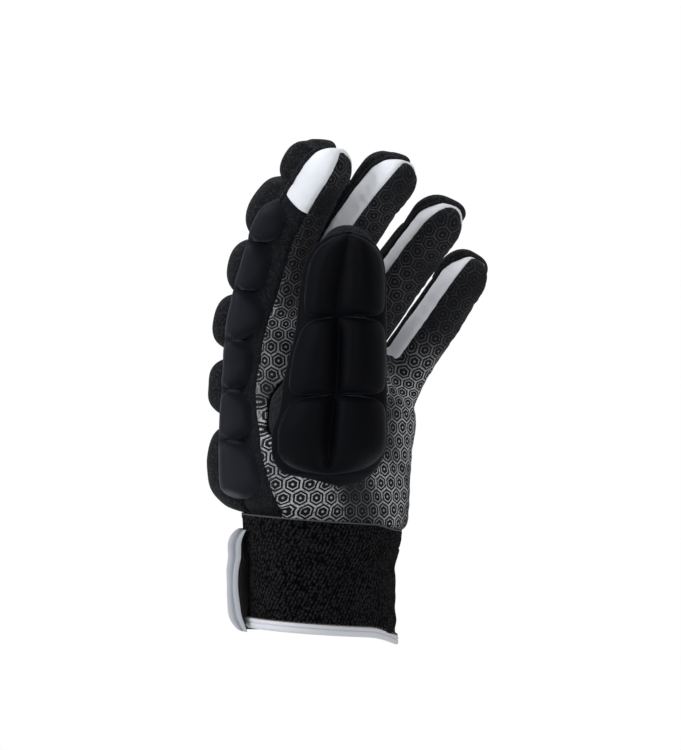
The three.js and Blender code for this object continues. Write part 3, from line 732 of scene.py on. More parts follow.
# a darker copy of the heather knit for the index finger's side panel: the heather is its own, and its lower
# tone is painted shade on the margin beside the lobes
panelCloth = heatherCloth("panelCloth", {
    "colour": (0.0030, 0.0032, 0.0042), "speck": (0.022, 0.023, 0.027), "roughness": 0.8, "specular": 0.06,
    "sheen": 0.03, "pitch": 0.8, "depth": 0.07})
knitCloth = heatherCloth("knitCloth", {
    "colour": (0.0045, 0.0047, 0.0058), "speck": (0.042, 0.043, 0.048), "roughness": 0.85, "specular": 0.08,
    "sheen": 0.03, "sheenRoughness": 0.5, "pitch": 0.9, "depth": 0.09})
gripCloth = printedCloth("gripCloth", {
    "colour": (0.0045, 0.0046, 0.0056), "shade": (0.0095, 0.0098, 0.0115), "ink": (0.46, 0.465, 0.48),
    "roughness": 0.8, "inkRoughness": 0.45, "specular": 0.08, "sheen": 0.02, "sheenRoughness": 0.5,
    "cell": 7.2, "lines": [(0.47, 0.034), (0.29, 0.038), (0.0, 0.09)]})  # a line's place and half its width
loopPile = pileCloth("loopPile", {
    "colour": (0.0004, 0.0004, 0.0006), "speck": (0.0205, 0.0205, 0.0235), "roughness": 0.9,
    "specular": 0.03, "sheen": 0.01, "sheenRoughness": 0.5, "rib": 1.8, "loop": 1.4})
darkThread = thread("darkThread", (0.02, 0.021, 0.025), (0.05, 0.052, 0.06), 0.6)
greyThread = thread("greyThread", (0.035, 0.036, 0.040), (0.07, 0.071, 0.076), 0.7)
brownThread = thread("brownThread", (0.055, 0.040, 0.026), (0.11, 0.085, 0.06), 0.6)
print("finishes made")


# The skin's panels and strips, cut from the one body along the seams

def flatUv(points):
    # the flat hand's x and z over the map's size; x is drawn out by an arc where the cloth turns away
    lean = np.clip(points[:, 3], -0.96, 0.96)
    radius = lerp(15 + 7 * smooth(points[:, 0] / 20), 12, smooth((points[:, 2] - 120) / 40))
    drawn = points[:, 0] + radius * (np.arcsin(lean) - lean) + clothMap["left"]
    return np.stack([drawn, points[:, 2]], -1) / clothMap["size"]


# the print's strength by region: its real wear together with painted gloss and painted shade
grip = {"palm": 0.16, "fingers": 0.07, "heel": 0.95, "besideThumb": 0.75, "uneven": 0.75}


def printStrength(points):
    # how strongly the print shows: partly real wear, least on the fingers, and partly painted gloss and
    # shade, brightest on the palm's outer heel and beside the thumb and dimmer under the thumb's root
    x, z = points[:, 0], points[:, 2]
    heel = smooth((x + 4) / 26) * smooth((150 - z) / 50)
    heel = np.maximum(heel, 0.9 * smooth((-x - 2) / 10) * smooth((72 - z) / 10))
    heel = heel * (1 - 0.75 * hump(x + 2, 9) * smooth((74 - z) / 12))
    besideThumb = smooth((-x - 14) / 14) * smooth((178 - z) / 30)
    base = lerp(grip["palm"], grip["fingers"], smooth((z - 120) / 30))
    strength = np.maximum(base, np.maximum(grip["heel"] * heel, grip["besideThumb"] * besideThumb))
    return np.clip(strength * (1 + grip["uneven"] * softNoise(points, 24, 8)), 0.02, 1)


def skinPieces():
    # each panel or strip is what the body has between its seams, with its material and slot
    body = np.hstack([flatPoints, flatNormals])
    whole = cut(body, flatTriangles, body[:, 2] - hand["fromZ"] - 0.5)
    palmSide = cut(*whole, -aboveSeam("palm", whole[0]))
    backSide = cut(*whole, aboveSeam("back", whole[0]))
    band = cut(*whole, aboveSeam("palm", whole[0]))
    band = cut(*band, -aboveSeam("back", band[0]))

    def part(points, triangles, *finger):
        # the part of the band beyond one finger's axis and before the next one's
        for side, which in finger:
            points, triangles = cut(points, triangles, side * fromFinger(which, points)[1])
        return points, triangles

    indexSide = part(*band, (-1, index))
    overStrip = indexSide[0][:, 2] - seams["stripFromZ"] - seams["stripSlant"] * indexSide[0][:, 1]
    return {
        "palm_panel": (palmSide, gripCloth, "grip_cloth"),
        "back_panel": (backSide, knitCloth, "knit_cloth"),
        "index_side_panel": (cut(*indexSide, -overStrip), panelCloth, "pad_cloth"),
        "index_side_strip": (cut(*indexSide, overStrip), whiteCloth, "white_cloth"),
        "index_middle_strip": (part(*band, (1, index), (-1, middle)), whiteCloth, "white_cloth"),
        "middle_ring_strip": (part(*band, (1, middle), (-1, ring)), whiteCloth, "white_cloth"),
        "ring_little_strip": (part(*band, (1, ring), (-1, little)), whiteCloth, "white_cloth"),
        "little_side_strip": (part(*band, (1, little)), whiteCloth, "white_cloth"),
    }


for name, ((points, triangles), material, slot) in skinPieces().items():
    place = worn(points, clothRelief(points))
    if name == "palm_panel":
        kept = np.hstack([place, points])
        off = offThumb(place) + 2.5 - 4.9 * besideSlit(place) + 30 * smooth((77 - place[:, 2]) / 4)
        kept, triangles = cut(kept, triangles, np.where(place[:, 2] > 130, 9, off))
        place, points = kept[:, :3], kept[:, 3:]
        skinPoints, skinNormals = place, pointNormals(place, triangles)
    mesh = shellMesh(name, place, triangles, hand["wall"], uv=flatUv(points),
                     values={"printStrength": printStrength(points)})
    addPiece(name, mesh, material, slot)
print("panels and strips made")


# Pillows: how full a guard is between its creases


def pillowRows(spans, count):
    # for each span, points that crowd towards its ends, and the share of the span at each of them
    share = (1 - np.cos(np.linspace(0, pi, count))) / 2
    at = np.concatenate([lerp(low, high, share) for low, high in spans])
    return at, np.tile(share, len(spans))


def fullness(share, exponent=3.0):
    # the square root of 1 less the distance from the middle to a power
    return np.sqrt(np.clip(1 - np.abs(2 * share - 1) ** exponent, 0, 1))


fingerGuards = {
    # where the pillows start and part along the finger, their heights, how far they lean to the left, and
    # at their ends the flat edge on the left; crease is how deep the creases are, tipY the edge's height
    "index": {"ends": [6.5, 33.4, 61.5], "heights": [12.5, 12.5, 7], "lean": [1, 1.5, 5.5],
              "flange": [2.5, 3.5, 5.5, 3.5], "crease": 1, "tipY": 5.3},
    "middle": {"ends": [7, 40, 69.5], "heights": [6, 6, 4.2], "lean": [0, 0, 0],
               "flange": [2.6, 2.6, 2.6, 2.6], "crease": 0.35, "tipY": 4.0},
    "ring": {"ends": [7, 35.5, 62], "heights": [6, 6, 3], "lean": [-3, -3, -0.5],
             "flange": [2, 2, 2, 2], "crease": 0.35, "tipY": 0.8},
    "little": {"ends": [7, 29.5, 52], "heights": [6, 6, 3.5], "lean": [-6.2, -6, -1.5],
               "flange": [1.6, 1.6, 1.6, 1.6], "crease": 0.35, "tipY": 0.6},
    "baseY": 5.3, "edge": 1.4, "edgeRound": 1.2, "swellOver": 7, "under": 1.5, "gap": 0.3,
    "groove": 0.8, "uneven": 0.3, "rows": 40, "columns": 84,
}


def fingerGuard(finger):
    # a sheet on the skin down to one height on both sides and round the tip, with a flat edge and a fine
    # groove; the pillows grow along the skin's normal by a flat-topped bell across, one up to each joint
    name, length, power = finger["name"], finger["length"], fingerForm["power"]
    start, tip, own = length - fingerForm["tipRound"], fingerForm["tipRound"], fingerGuards[name]

    def base(run):
        return lerp(fingerGuards["baseY"], own["tipY"], smooth((run - start + 5) / (tip * 1.2)))

    runs = np.linspace(0, start + tip * 1.5, 900)
    closing = np.cos(np.clip((runs - start) / tip, 0, 1.5)) ** fingerForm["tipBack"]
    tops = finger["back"] * fingerScale(finger, np.minimum(runs, length)) * closing
    last = runs[tops > base(runs) * 1.01].max()
    ends = own["ends"] + [last]
    spans = [(low + fingerGuards["gap"], high - fingerGuards["gap"]) for low, high in zip(ends, ends[1:])]
    run, share = pillowRows(spans, fingerGuards["rows"])
    onLast = run >= spans[2][0]
    full = lerp(1, fullness(share), own["crease"])
    tipFall = (1 - np.clip((share - 0.4) / 0.6, 0, 1) ** 2.6) ** 0.7
    full = np.where(onLast & (share > 0.4), tipFall, full)
    tall = np.repeat(own["heights"], fingerGuards["rows"]) * full
    top = np.interp(run, runs, tops)
    lowest = np.arcsin(np.clip(base(run) / top, 0, 1) ** (power / 2))[:, None]
    column = crowded(fingerGuards["columns"])[None]
    turn = lerp(lowest, pi - lowest, (1 - column) / 2)
    flat = fingerSkin(finger, run[:, None], turn)
    ahead, around = np.gradient(flat, axis=0), np.gradient(flat, axis=1)
    normal = unit(np.cross(around, ahead))
    outwards = flat - fingerSkin(finger, run[:, None], turn, -1.0)
    normal = normal * np.sign((normal * outwards).sum(-1, keepdims=True))
    half = np.linalg.norm(np.diff(flat, axis=1), axis=-1).sum(1, keepdims=True) / 2
    fromEdge = half * (1 - np.abs(column) ** 1.6) * 0.9
    fromEdge = np.minimum(fromEdge, np.maximum(last - run, 0)[:, None] * 1.2)
    flange = np.where(column < 0, between(ends, own["flange"], run)[:, None], fingerGuards["edgeRound"])
    inner = np.clip((fromEdge - flange) / fingerGuards["swellOver"], 0, 1)
    bulge = np.sqrt(1 - (1 - inner) ** 2.6)
    out = fingerGuards["edge"] * quarterRound(fromEdge / fingerGuards["edgeRound"])
    out = out - fingerGuards["groove"] * hump(fromEdge - flange, 0.5) + tall[:, None] * bulge
    out = out + fingerGuards["uneven"] * softNoise(flat, 11, 21) * bulge * full[:, None]
    outer = flat + normal * out[..., None]
    lean = (np.repeat(own["lean"], fingerGuards["rows"]) * full)[:, None]
    outer[..., 0] -= lean * bulge * smooth(0.55 - column)
    return slabMesh(f"{name}_guard", pose(outer), pose(flat - normal * fingerGuards["under"]))


for finger in fingers:
    addPiece(f"{finger['name']}_guard", fingerGuard(finger), knitCloth, "knit_cloth")

backGuard = {
    "rows": [(0.075, 0.41), (0.43, 0.66), (0.68, 0.87)],  # shares of the way up to the webs
    "columns": [(16, 62), (65, 87), (90, 107), (110, 153)],  # degrees round the palm's oval
    "height": 12.5, "edge": 1.6, "under": -3.0, "lower": 0.07, "flatter": 0.7, "uneven": 0.35,
}


def handGuard():
    # rows of pillows over the palm's oval, each higher by the product of how full its row and column are,
    # less at its corners; towards the little finger the rows lie lower and the upper pillows are flatter
    at, alongShare = pillowRows(backGuard["rows"], 40)
    degrees, acrossShare = pillowRows(backGuard["columns"], 36)
    turn = np.radians(degrees)[None]
    corner = np.abs((2 * alongShare[:, None] - 1) * (2 * acrossShare[None] - 1)) ** 4
    full = fullness(alongShare)[:, None] * fullness(acrossShare, 3.4)[None] * (1 - corner)
    rise = at[:, None] * (1 - backGuard["lower"] * smooth((90 - degrees[None]) / 40))
    upperLittle = smooth((90 - degrees[None]) / 30) * smooth((at[:, None] - 0.45) / 0.3)
    height = backGuard["height"] * lerp(1, backGuard["flatter"], upperLittle)

    def face(outer):
        grow = backGuard["edge"] + height * full if outer else backGuard["under"]
        across, depth = palmOval(turn, rise, grow)
        centre = palmSize("centreX", rise)
        flat = xyz(centre + across, depth, palmZ(rise, centre + across * 0.95))
        if outer:
            flat[..., 1] += backGuard["uneven"] * softNoise(flat, 14, 22) * full
        return pose(flat)

    return slabMesh("hand_guard", face(True), face(False))


addPiece("hand_guard", handGuard(), knitCloth, "knit_cloth")
print("back guards made")


# The six lobes on the index finger's outer side

sideGuard = {
    "lobes": [(61.6, 88.4), (88.4, 111.6), (111.6, 134.3), (134.3, 156.2), (156.2, 179.4), (179.4, 198.5)],
    "height": 11.2, "edge": 1.0, "neck": 0.42, "sink": 0.8, "under": 4.5, "backMargin": 5.0, "x": -42,
    "crease": 0.3, "backCrease": 0.01, "uneven": 0.3,
    "marginZ": [61, 75, 100, 122, 144, 167, 188, 198],
    "margin": [4, 3.2, 2.8, 4.0, 1.8, 7, 6, 5.5],  # from the palm's seam to the lobes' rounded edge
}


def sideSkin(y, z):
    # the skin's outer face on the index finger's side: the further out of the palm's oval and the finger's
    def sideways(halfWidth, front, back, power):
        depth = np.where(y < 0, front, back)
        return halfWidth * np.clip(1 - np.abs(y / depth) ** power, 0, 1) ** (1 / power)

    rise = (z - hand["fromZ"]) / (webLine(sideGuard["x"]) - hand["fromZ"])
    centre, *sizes = [palmSize(column, np.clip(rise, 0, 1))
                      for column in ("centreX", "halfWidth", "front", "back", "power")]
    palmX = centre - sideways(*sizes) + 60 * np.clip(rise - 1, 0, 9)
    along = z - index["knuckleZ"]
    scale = fingerScale(index, along)
    fingerX = onFinger(index, along, 0, 0)[..., 0] - sideways(
        index["width"] / 2 * scale, index["front"] * scale, index["back"] * scale, fingerForm["power"])
    fingerX = np.where(along < -20, 0, fingerX)
    return -0.8 * np.logaddexp(-palmX / 0.8, -fingerX / 0.8)


def sideGuardMesh():
    # the height is full at the straight back edge and falls on an arc to each lobe's own rounded reach;
    # between two lobes the reach is short, which opens a notch, and a crease runs faintly to the back
    z, share = pillowRows(sideGuard["lobes"], 38)
    z, share = z[:, None], share[:, None]
    column = np.linspace(0, 1, 100)[None] ** 1.25
    away = np.abs(2 * share - 1)
    backY = besidePalm("back", z) + sideGuard["backMargin"]
    palmY = besidePalm("palm", z) + between(sideGuard["marginZ"], sideGuard["margin"], z)
    y = lerp(backY, palmY, column)
    neck, sink, (low, *_, high) = sideGuard["neck"], sideGuard["sink"], np.ravel(sideGuard["lobes"])
    reach = lerp(neck, 1, (1 - np.clip(away, 0, 1) ** 2.4) ** 0.6)
    fall = np.clip(column / reach, 0, 1)
    notch = (1 - reach) / (1 - neck)
    inside = np.sqrt(1 - fall ** lerp(2.4, 9, notch)) * lerp(1, 0.86, fall)
    length = np.repeat(np.diff(sideGuard["lobes"]).ravel(), len(z) // len(sideGuard["lobes"]))[:, None]
    deep = lerp(sideGuard["backCrease"], sideGuard["crease"], smooth((column - 0.2) / 0.25))
    crease = 1 - deep * hump((1 - away) / 2 * length, 2.4)
    ends = quarterRound((z - low) / 6) * quarterRound((high - z) / 7)
    height = sideGuard["height"] * crease * ends * lerp(0.55, 1, quarterRound(column / 0.09))
    out = (sink + sideGuard["edge"] * inside ** 0.5 + height) * inside - sink
    out = out - 1.5 * smooth((column - 0.93) / 0.07)
    top = xyz(sideSkin(y, z) - out, y, z)
    top[..., 0] -= sideGuard["uneven"] * softNoise(top, 12, 31) * inside
    return slabMesh("index_side_guard", pose(top), pose(xyz(sideSkin(y, z) + sideGuard["under"], y, z)))


# the lobes get the lighter copy of the pad cloth, as painted light
addPiece("index_side_guard", sideGuardMesh(), paintedLitPadCloth, "pad_cloth")


# The thumb's stall and its guard

def thumbStall():
    # rings of the thumb's oval that close on a quarter circle at the tip, cut off where they enter the palm
    turns = np.radians(np.linspace(0, 89, 16)[1:])
    straight = np.linspace(58, thumb["tipZ"] - thumb["round"], 96)
    z = np.concatenate([straight, straight[-1] + thumb["round"] * np.sin(turns)])[:, None]
    share = np.concatenate([np.ones(96), np.cos(turns)])[:, None]
    turn = fullTurn(112)[None]
    depth = thumbSize("halfDepth", z) * share
    across, rise = oval(turn, thumbSize("halfWidth", z) * share, depth, depth, thumb["power"])
    across = across - rootBulge(turn, z)
    grid = toHand(thumbSize("centreU", z) + across, thumbSize("centreV", z) + rise, z + 0 * across)
    points, quads, fans = closedTube(grid)
    quads = np.concatenate([quads[:, [0, 1, 2]], quads[:, [0, 2, 3]]])
    triangles = np.concatenate([quads, fans[len(fans) // 2:]])
    near = nearest(points, skinPoints)
    outside = ((points - skinPoints[near]) * skinNormals[near]).sum(1)
    outside = np.where(points[:, 2] > 125, 20, outside)
    flare = thumb["flare"] * np.exp(-np.maximum(outside, 0) / 3) * smooth((points[:, 2] - 74) / 8)
    grow = 0.2 * softNoise(points, 13, 41) + flare * (1 - besideSlit(points))
    points = points + pointNormals(points, triangles) * grow[:, None]
    points, triangles = cut(points, triangles, outside + 2.0)
    return shellMesh("thumb_stall", points, triangles, thumb["wall"])


addPiece("thumb_stall", thumbStall(), knitCloth, "pad_cloth")

thumbPad = {
    # the guard's outline to the left and right of the thumb's view, and the pillows' own edges inside it
    "outlineZ": [66.8, 67.6, 69.5, 72.5, 77, 83, 90, 103, 115, 139, 157, 166, 172, 177, 180.5, 182.5],
    "left": [1.5, -5, -11.5, -16.5, -20.5, -22.6, -22.6, -18.8, -17.2, -11.8, -9.9, -8.4, -6, -2.4, 2.4, 8],
    "right": [4.5, 10.5, 17, 22, 26, 28.6, 29.8, 29.6, 29.5, 29.3, 29.3, 28.6, 27.2, 24.4, 20, 15],
    "padZ": [73.2, 74.4, 76.6, 80, 84.6, 91, 103.5, 108.6, 113, 127, 139, 144.6, 157, 164, 171, 175.5,
             179.2, 181.4],
    "padLeft": [1, -8, -14, -18, -19.9, -19.9, -16.2, -15.1, -15, -13, -9.4, -8.4, -7.6, -6.6, -4.4, -1.5,
                3.5, 9],
    "padRight": [5, 15, 21, 25.5, 28.4, 29.2, 28.8, 28.4, 28.7, 29.2, 28.5, 28.3, 28.5, 28.3, 26.8, 24.5,
                 20, 15],
    "flange": 2.6, "height": 8.0, "under": 1.0, "bow": 2.2, "uneven": 0.16,
    "rows": [(73.0, 108.0), (108.4, 143.2), (143.6, 181.6)],
    "grooveZ": [74, 106, 108, 143, 146, 180],
    "grooveU": [2.4, 5.6, 6.4, 7.8, 7.4, 12.2],
    "grooveWidth": [3.4, 3.4, 3.8, 4.0, 5.4, 5.5],
    "grooveDepth": [0.92, 0.92, 0.88, 0.84, 0.8, 0.45],
}


def padTable(heights, column, z):
    return between(thumbPad[heights], thumbPad[column], z)


def thumbGuard():
    # each row's height over the flange is the root of 1 less powers of the distances from its middle,
    # which rounds its corners; a soft groove parts the two columns, and the creases between the rows bow
    # up in their middle
    low = np.linspace(thumbPad["outlineZ"][0], thumbPad["rows"][0][0], 12)[:-1]
    z, share = pillowRows(thumbPad["rows"], 60)
    high = np.linspace(thumbPad["rows"][-1][1], thumbPad["outlineZ"][-1], 4)[1:]
    z = np.concatenate([low, z, high])[:, None]
    share = np.concatenate([0 * low, share, 0 * high + 1])[:, None]
    column = crowded(161)[None]
    bowed = thumbPad["bow"] * (1 - column ** 2) - 0.9 + 0.5 * column
    z = z + bowed * smooth((z - 80) / 20) * smooth((172 - z) / 20)
    u = lerp(padTable("outlineZ", "left", z), padTable("outlineZ", "right", z), (column + 1) / 2)
    v = thumbSize("centreV", z) - thumbSize("halfDepth", z) + 5.5 * column ** 2
    padLeft, padRight = padTable("padZ", "padLeft", z), padTable("padZ", "padRight", z)
    inPad = (2 * u - padLeft - padRight) / (padRight - padLeft)
    sides = np.clip(np.abs(inPad), 0, 1)
    far = np.abs(2 * share - 1)
    pillow = np.sqrt(np.clip(1 - sides ** 5 - far ** 8, 0, 1))
    pillow = pillow * (1 - 0.15 * sides ** 2) * (1 - 0.15 * far ** 3)
    across = np.sqrt(1 - sides ** 5)
    off = np.abs(u - padTable("grooveZ", "grooveU", z)) / padTable("grooveZ", "grooveWidth", z)
    groove = 1 - padTable("grooveZ", "grooveDepth", z) * smooth((z - 71) / 8) * np.exp(-off ** 1.35)
    edge = np.clip(1 - np.abs(column) ** 24, 0, 1) ** 0.5
    swell = thumbPad["height"] * lerp(0.08 * across, 1, pillow) * groove * smooth(across * 4)
    inside = (z >= thumbPad["padZ"][0]) & (z <= thumbPad["padZ"][-1])
    uneven = thumbPad["uneven"] * softNoise(xyz(u, v, z), 11, 51) * across
    out = thumbPad["flange"] * edge + np.where(inside, swell, 0) + uneven
    return slabMesh("thumb_guard", toHand(u, v - out, z), toHand(u, v + thumbPad["under"], z))


addPiece("thumb_guard", thumbGuard(), padCloth, "pad_cloth")
print("thumb made")


# The cuff, its binding and the closure's tab

cuff = {
    "z": [-2, 5, 16, 30, 42, 60],
    "halfWidth": [37.4, 37.2, 36.8, 36.8, 39.6, 39.6],
    "halfDepth": [28.2, 27.8, 27.0, 26.8, 29.2, 28.9],
    "power": 2.2, "wall": 2.6, "slant": 0.08, "topZ": 51.5, "bindingTopZ": 4.6, "hemZ": 42.5,
    "rib": 1.8, "ribDepth": 0.05, "hemDepth": 0.4, "slack": 0.7, "columns": 560,
    "droop": 5.2, "hemDroop": 2.4,  # how far the lower and the upper edge drop
}


def cuffPoint(turn, z, grow):
    # the cuff's oval at a height, grown by a distance; the edges fall to the thumb view's right
    width, depth = [between(cuff["z"], cuff[column], z) + grow for column in ("halfWidth", "halfDepth")]
    across, rise = oval(turn, width, depth, depth, cuff["power"])
    viewRight = across * cos(thumbYaw) + rise * sin(thumbYaw)
    droop = cuff["droop"] * np.clip((viewRight - 21) / 16, 0, 1.2) ** 2 * (1 - smooth((z - 4) / 16))
    droop = droop + cuff["hemDroop"] * smooth((viewRight - 24) / 12) * smooth((z - 34) / 16)
    return xyz(across, rise, z - cuff["slant"] * viewRight - droop)


def evenTurns(count):
    # turns round the cuff that step by equal lengths
    turn = np.linspace(0, 2 * pi, 2001)
    length = lengthAlong(cuffPoint(turn, 25.0, 0.0))
    return np.interp(np.linspace(0, length[-1], count, endpoint=False), length, turn), length[-1]


def hoopMesh(name, grid, uv=None):
    # rings that close on themselves and on the first ring again
    faces = gridFaces(*grid.shape[:2], closedRows=True, closedColumns=True)
    return makeMesh(name, grid.reshape(-1, 3), [faces], uv=uv)


def cuffBand():
    # slanted ribs outside, a bell for the turned hem, another for the sewn line below it, and slack folds
    turn, around = evenTurns(cuff["columns"])
    z = np.linspace(cuff["bindingTopZ"] - 0.6, cuff["topZ"], 110)
    length = np.linspace(0, around, cuff["columns"], endpoint=False)[None]
    column, row = turn[None], z[:, None]
    rib = np.sin(2 * pi * (np.round(around / cuff["rib"]) * length / around - row * 0.48 / cuff["rib"]))
    hem = hump(row - cuff["topZ"] + 0.8, 0.8)
    relief = cuff["ribDepth"] * rib * (1 - hem) + cuff["hemDepth"] * (hem - hump(row - cuff["hemZ"], 0.7))
    right = smooth((np.cos(column) * cos(thumbYaw) + np.sin(column) * sin(thumbYaw) - 0.3) / 0.5)
    place = cuffPoint(column, row, 0.0)
    folds = softNoise(place * np.array([0.35, 0.35, 1.0]), 9, 61)
    relief = relief + cuff["slack"] * folds * lerp(0.35, 1, right)
    outer = cuffPoint(column, row, relief)
    lip = cuffPoint(column, cuff["topZ"] + 0.5 + 0 * row[:1], -0.6)
    inner = cuffPoint(column, z[::-10][:, None], -cuff["wall"])
    grid = np.concatenate([outer, lip, inner])
    heights = np.concatenate([z, [cuff["topZ"]], z[::-10]])
    uv = np.stack(np.broadcast_arrays(length, heights[:, None]), -1).reshape(-1, 2) / clothMap["size"]
    return hoopMesh("cuff_band", grid, uv=uv)


binding = {
    "z": [0, -0.15, 0, 0.7, 1.6, 2.4, 2.75, 3.1, 3.7, 4.4, 4.75, 4.6, 4.6],
    "grow": [-3.2, -2.2, -0.6, 0.4, 0.75, 0.75, 0.25, 0.7, 0.95, 0.7, 0.0, -1.6, -3.2],
}


def cuffBinding():
    # a folded tape carried round the cuff's lower edge, its section rounded to the outside
    turn, _ = evenTurns(360)
    t = np.linspace(0, 1, 61)
    keys = np.linspace(0, 1, len(binding["z"]))
    z, grow = np.interp(t, keys, binding["z"])[:, None], np.interp(t, keys, binding["grow"])[:, None]
    place = cuffPoint(turn[None], 2.0 + 0 * z, grow)
    grow = grow + 0.2 * softNoise(place, 11, 71)
    return hoopMesh("cuff_binding", cuffPoint(turn[None], z, grow))


addPiece("cuff_band", cuffBand(), loopPile, "loop_pile")
addPiece("cuff_binding", cuffBinding(), bindingCloth, "white_cloth")

tab = {
    "from": 100, "to": 160, "corner": 10,  # degrees round the cuff; the free edge's corners lie further on
    "wall": 1.8, "bow": 4.0, "lowZ": -1.8, "highZ": 44.8,
    "tapeAt": 0.66, "tapeHalf": 0.16, "tape": 3.6, "edgingHalf": 0.05, "edging": 1.1, "grooveAt": 0.88,
    "uneven": 0.3,
}


def closureTab():
    # a tongue bowed out from the cuff and sewn down on its far side; towards its free edge it carries a
    # thick round tape, a groove and a low round edge, each an arc over its own span of the width
    row = crowded(90)[:, None] * 0.5 + 0.5
    column = (1 - np.linspace(1, 0, 130) ** 1.5)[None]
    bow = np.sin(pi * row)
    z = lerp(tab["lowZ"], tab["highZ"], row) + 0 * column
    standoff = 1 + tab["bow"] * bow * smooth(column * 1.08) + 1.2 * (1 - smooth((z - 2) / 16))
    turn = np.radians(lerp(tab["from"], tab["to"] + tab["corner"] * (1 - bow), column))
    tape = tab["tape"] * (1 - np.clip(np.abs(column - tab["tapeAt"]) / tab["tapeHalf"], 0, 1) ** 2.2) ** 0.6
    edging = tab["edging"] * quarterRound(1 - np.abs((1 - column) / tab["edgingHalf"] - 1))
    rounded = fullness(row, 5)
    roll = rounded * lerp(0.55, 1, smooth(column / 0.04)) * quarterRound((1 - column) / 0.03)
    middle, half = tab["wall"] / 2, tab["wall"] / 2 * roll
    uneven = tab["uneven"] * softNoise(cuffPoint(turn, z, standoff), 12, 72)
    top = cuffPoint(turn, z, standoff + middle + half + tape * rounded ** 1.5 + edging * roll + uneven)
    bottom = cuffPoint(turn, z, standoff + middle - half)
    # painted shade: the groove between the tape and the low edge is darkened in colour, and the whole inner
    # face is dark as a painted shadow of the gap under the tab
    groove = 0.72 * hump(column - tab["grooveAt"], 0.085) + 0 * row
    lining = np.concatenate([groove.ravel(), np.ones(row.size * column.size)])  # dark in there and inside
    return slabMesh("closure_tab", top, bottom, values={"lining": lining})


addPiece("closure_tab", closureTab(), tabCloth, "white_cloth")
print("cuff made")


# Stitches

def stitchMesh(name, path, out, pitch, length, radius, sides=6):
    # short round-ended threads set at even steps along a path, a little above the cloth
    step = lengthAlong(path)
    at = np.arange(pitch / 2, step[-1], pitch)
    centre = pointsAt(at, step, path)
    ahead = unit(pointsAt(at + 0.5, step, path) - pointsAt(at - 0.5, step, path))
    side = unit(np.cross(pointsAt(at, step, out), ahead))
    up = np.cross(ahead, side)
    centre, ahead, side, up = (vectors[:, None, None] for vectors in (centre, ahead, side, up))
    t = np.array([-1, -0.8, -0.3, 0.3, 0.8, 1.0])[None, :, None, None]
    size = np.array([0.05, 0.7, 1, 1, 0.7, 0.05])[None, :, None, None] * radius
    turn = fullTurn(sides)[None, None, :, None]
    points = centre + t * length / 2 * ahead + radius * (0.25 - 0.5 * np.abs(t) ** 3) * up
    points = points + size * (np.cos(turn) * side + np.sin(turn) * up)
    faces = gridFaces(t.size, sides, closedColumns=True)
    caps = np.array([np.arange(sides)[::-1], np.arange(sides) + (t.size - 1) * sides])
    start = (np.arange(len(centre)) * t.size * sides)[:, None, None]
    return makeMesh(name, points.reshape(-1, 3), [(faces + start).reshape(-1, 4),
                                                  (caps + start).reshape(-1, sides)])


def cordMesh(name, path, radius, sides=8):
    # a closed round cord carried along a ring of points
    ahead = unit(np.roll(path, -1, 0) - np.roll(path, 1, 0))
    side = unit(np.cross([0, 0, 1.0], ahead))
    up = np.cross(ahead, side)
    turn = -fullTurn(sides)[None, :, None]
    ring = np.cos(turn) * side[:, None] + np.sin(turn) * up[:, None]
    return hoopMesh(name, path[:, None] + radius * ring)


def skinPath(flat):
    # a line on the flat hand's side, moved onto the nearest skin points
    near = nearest(flat, flatPoints)
    body = np.hstack([flatPoints[near], flatNormals[near]])
    off = ((flat - body[:, :3]) * body[:, 3:]).sum(1, keepdims=True)
    body[:, :3] = flat - off * body[:, 3:]
    place, above = worn(body), worn(body, np.ones(len(body)))
    return place, above - place


# along the seam between the index finger's side and the palm
z = np.linspace(60, 190, 120)
y = besidePalm("palm", z) - 1.4
path, out = skinPath(xyz(sideSkin(y, z), y, z))
row = stitchMesh("palm_seam_stitches", path + out * 0.05, out, pitch=2.6, length=1.7, radius=0.22)
addPiece("palm_seam_stitches", row, darkThread, "pad_cloth", isNode=False)

# the cord round the cuff's upper hem
hem = {"steps": 900, "waves": 180, "wave": 0.18, "radius": 0.3, "above": 0.3, "out": 0.35}
turn, _ = evenTurns(hem["steps"])
wave = hem["wave"] * np.sin(fullTurn(hem["steps"]) * hem["waves"])
path = cuffPoint(turn, cuff["topZ"] + hem["above"] + wave, hem["out"])
addPiece("cuff_hem", cordMesh("cuff_hem", path, hem["radius"]), greyThread, "loop_pile", isNode=False)

# along the binding's upper edge
turn, _ = evenTurns(400)
path = cuffPoint(turn, cuff["bindingTopZ"] + 0.35, 0.35)
out = xyz(np.cos(turn), np.sin(turn), 0)
row = stitchMesh("binding_stitches", path, out, pitch=2.4, length=2.0, radius=0.28)
addPiece("binding_stitches", row, brownThread, "white_cloth", isNode=False)
print("stitches made")


# Floor, light and camera

view = {"azimuth": radians(-42), "aimRight": 8.5, "aimZ": 118.2, "height": 345.0, "distance": 2600.0}
rightWay = Vector((cos(view["azimuth"]), sin(view["azimuth"]), 0))
nearWay = Vector((sin(view["azimuth"]), -cos(view["azimuth"]), 0))
aim = rightWay * (view["aimRight"] * mm) + Vector((0, 0, view["aimZ"] * mm))


def aimed(item, place):
    item.location = place
    item.rotation_euler = (aim - place).to_track_quat("-Z", "Y").to_euler()


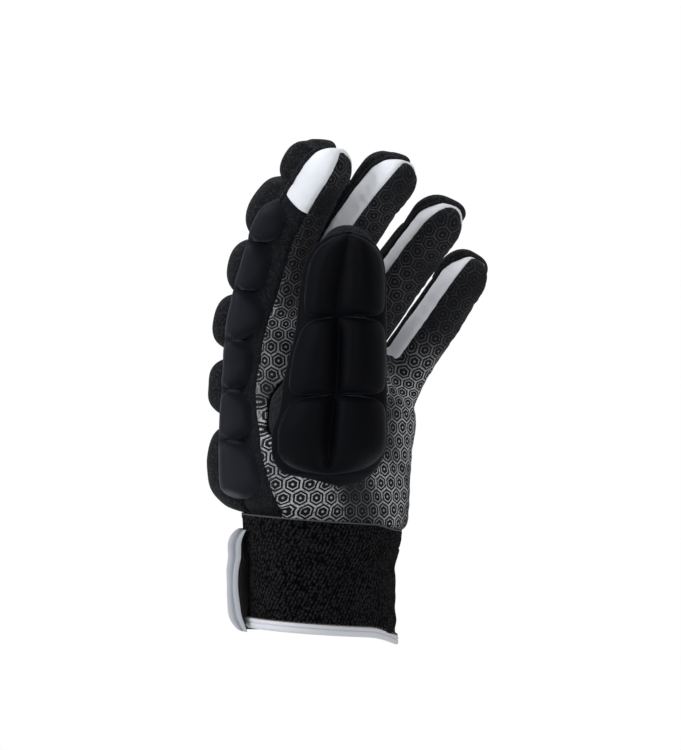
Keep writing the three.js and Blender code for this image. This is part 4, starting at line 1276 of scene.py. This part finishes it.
stand = {"radius": 450.0, "z": -86.0, "colour": (0.9, 0.9, 0.9), "roughness": 0.9, "specular": 0.1}
around = fullTurn(96)
disc = xyz(stand["radius"] * np.cos(around), stand["radius"] * np.sin(around), stand["z"])
floor = addObject("floor", makeMesh("floor", disc, [np.arange(96)[None]]))
floor.data.materials.append(newMaterial("paleFloor", stand).material)

lights = {
    # right, towards the camera and up from the glove's middle in metres, then size, power and colour
    "key": ((-1.05, 0.5, 0.35), 0.6, 9, (0.95, 0.97, 1.0)),
    "top": ((-0.25, 0.0, 1.1), 0.7, 8, (1.0, 1.0, 1.0)),
    "fill": ((0.0, 1.6, 0.3), 0.9, 7, (1.0, 1.0, 1.0)),
    "rightRim": ((1.1, -0.2, 0.25), 0.7, 2.5, (1.0, 1.0, 1.0)),
}
for name, ((right, near, up), size, power, colour) in lights.items():
    light = bpy.data.lights.new(name, "AREA")
    light.shape = "DISK"
    light.size = size
    light.energy = power
    light.color = colour
    aimed(addObject(name, light), aim + rightWay * right + nearWay * near + Vector((0, 0, up)))

# the room is plain white to the camera, and lights the glove less than it shows
world = bpy.data.worlds.new("paleRoom")
world.use_nodes = True
tree = world.node_tree
mixed = tree.nodes.new("ShaderNodeMixShader")
rays = tree.nodes.new("ShaderNodeLightPath")
tree.links.new(rays.outputs["Is Camera Ray"], mixed.inputs[0])
for place, node, colour, strength in [
    (1, tree.nodes.new("ShaderNodeBackground"), (0.96, 0.98, 1, 1), 0.42),
    (2, tree.nodes["Background"], (1, 1, 1, 1), 1.0),
]:
    node.inputs["Color"].default_value = colour
    node.inputs["Strength"].default_value = strength
    tree.links.new(node.outputs[0], mixed.inputs[place])
tree.links.new(mixed.outputs[0], tree.nodes["World Output"].inputs["Surface"])
bpy.context.scene.world = world
bpy.context.scene.view_settings.view_transform = "Standard"

camera = bpy.data.cameras.new("camera")
camera.sensor_fit = "VERTICAL"
camera.sensor_height = 36
camera.lens = camera.sensor_height * view["distance"] / view["height"]
camera.clip_end = 50
lens = addObject("camera", camera)
aimed(lens, aim + nearWay * (view["distance"] * mm))
bpy.context.scene.camera = lens
print("floor, lights and camera set")
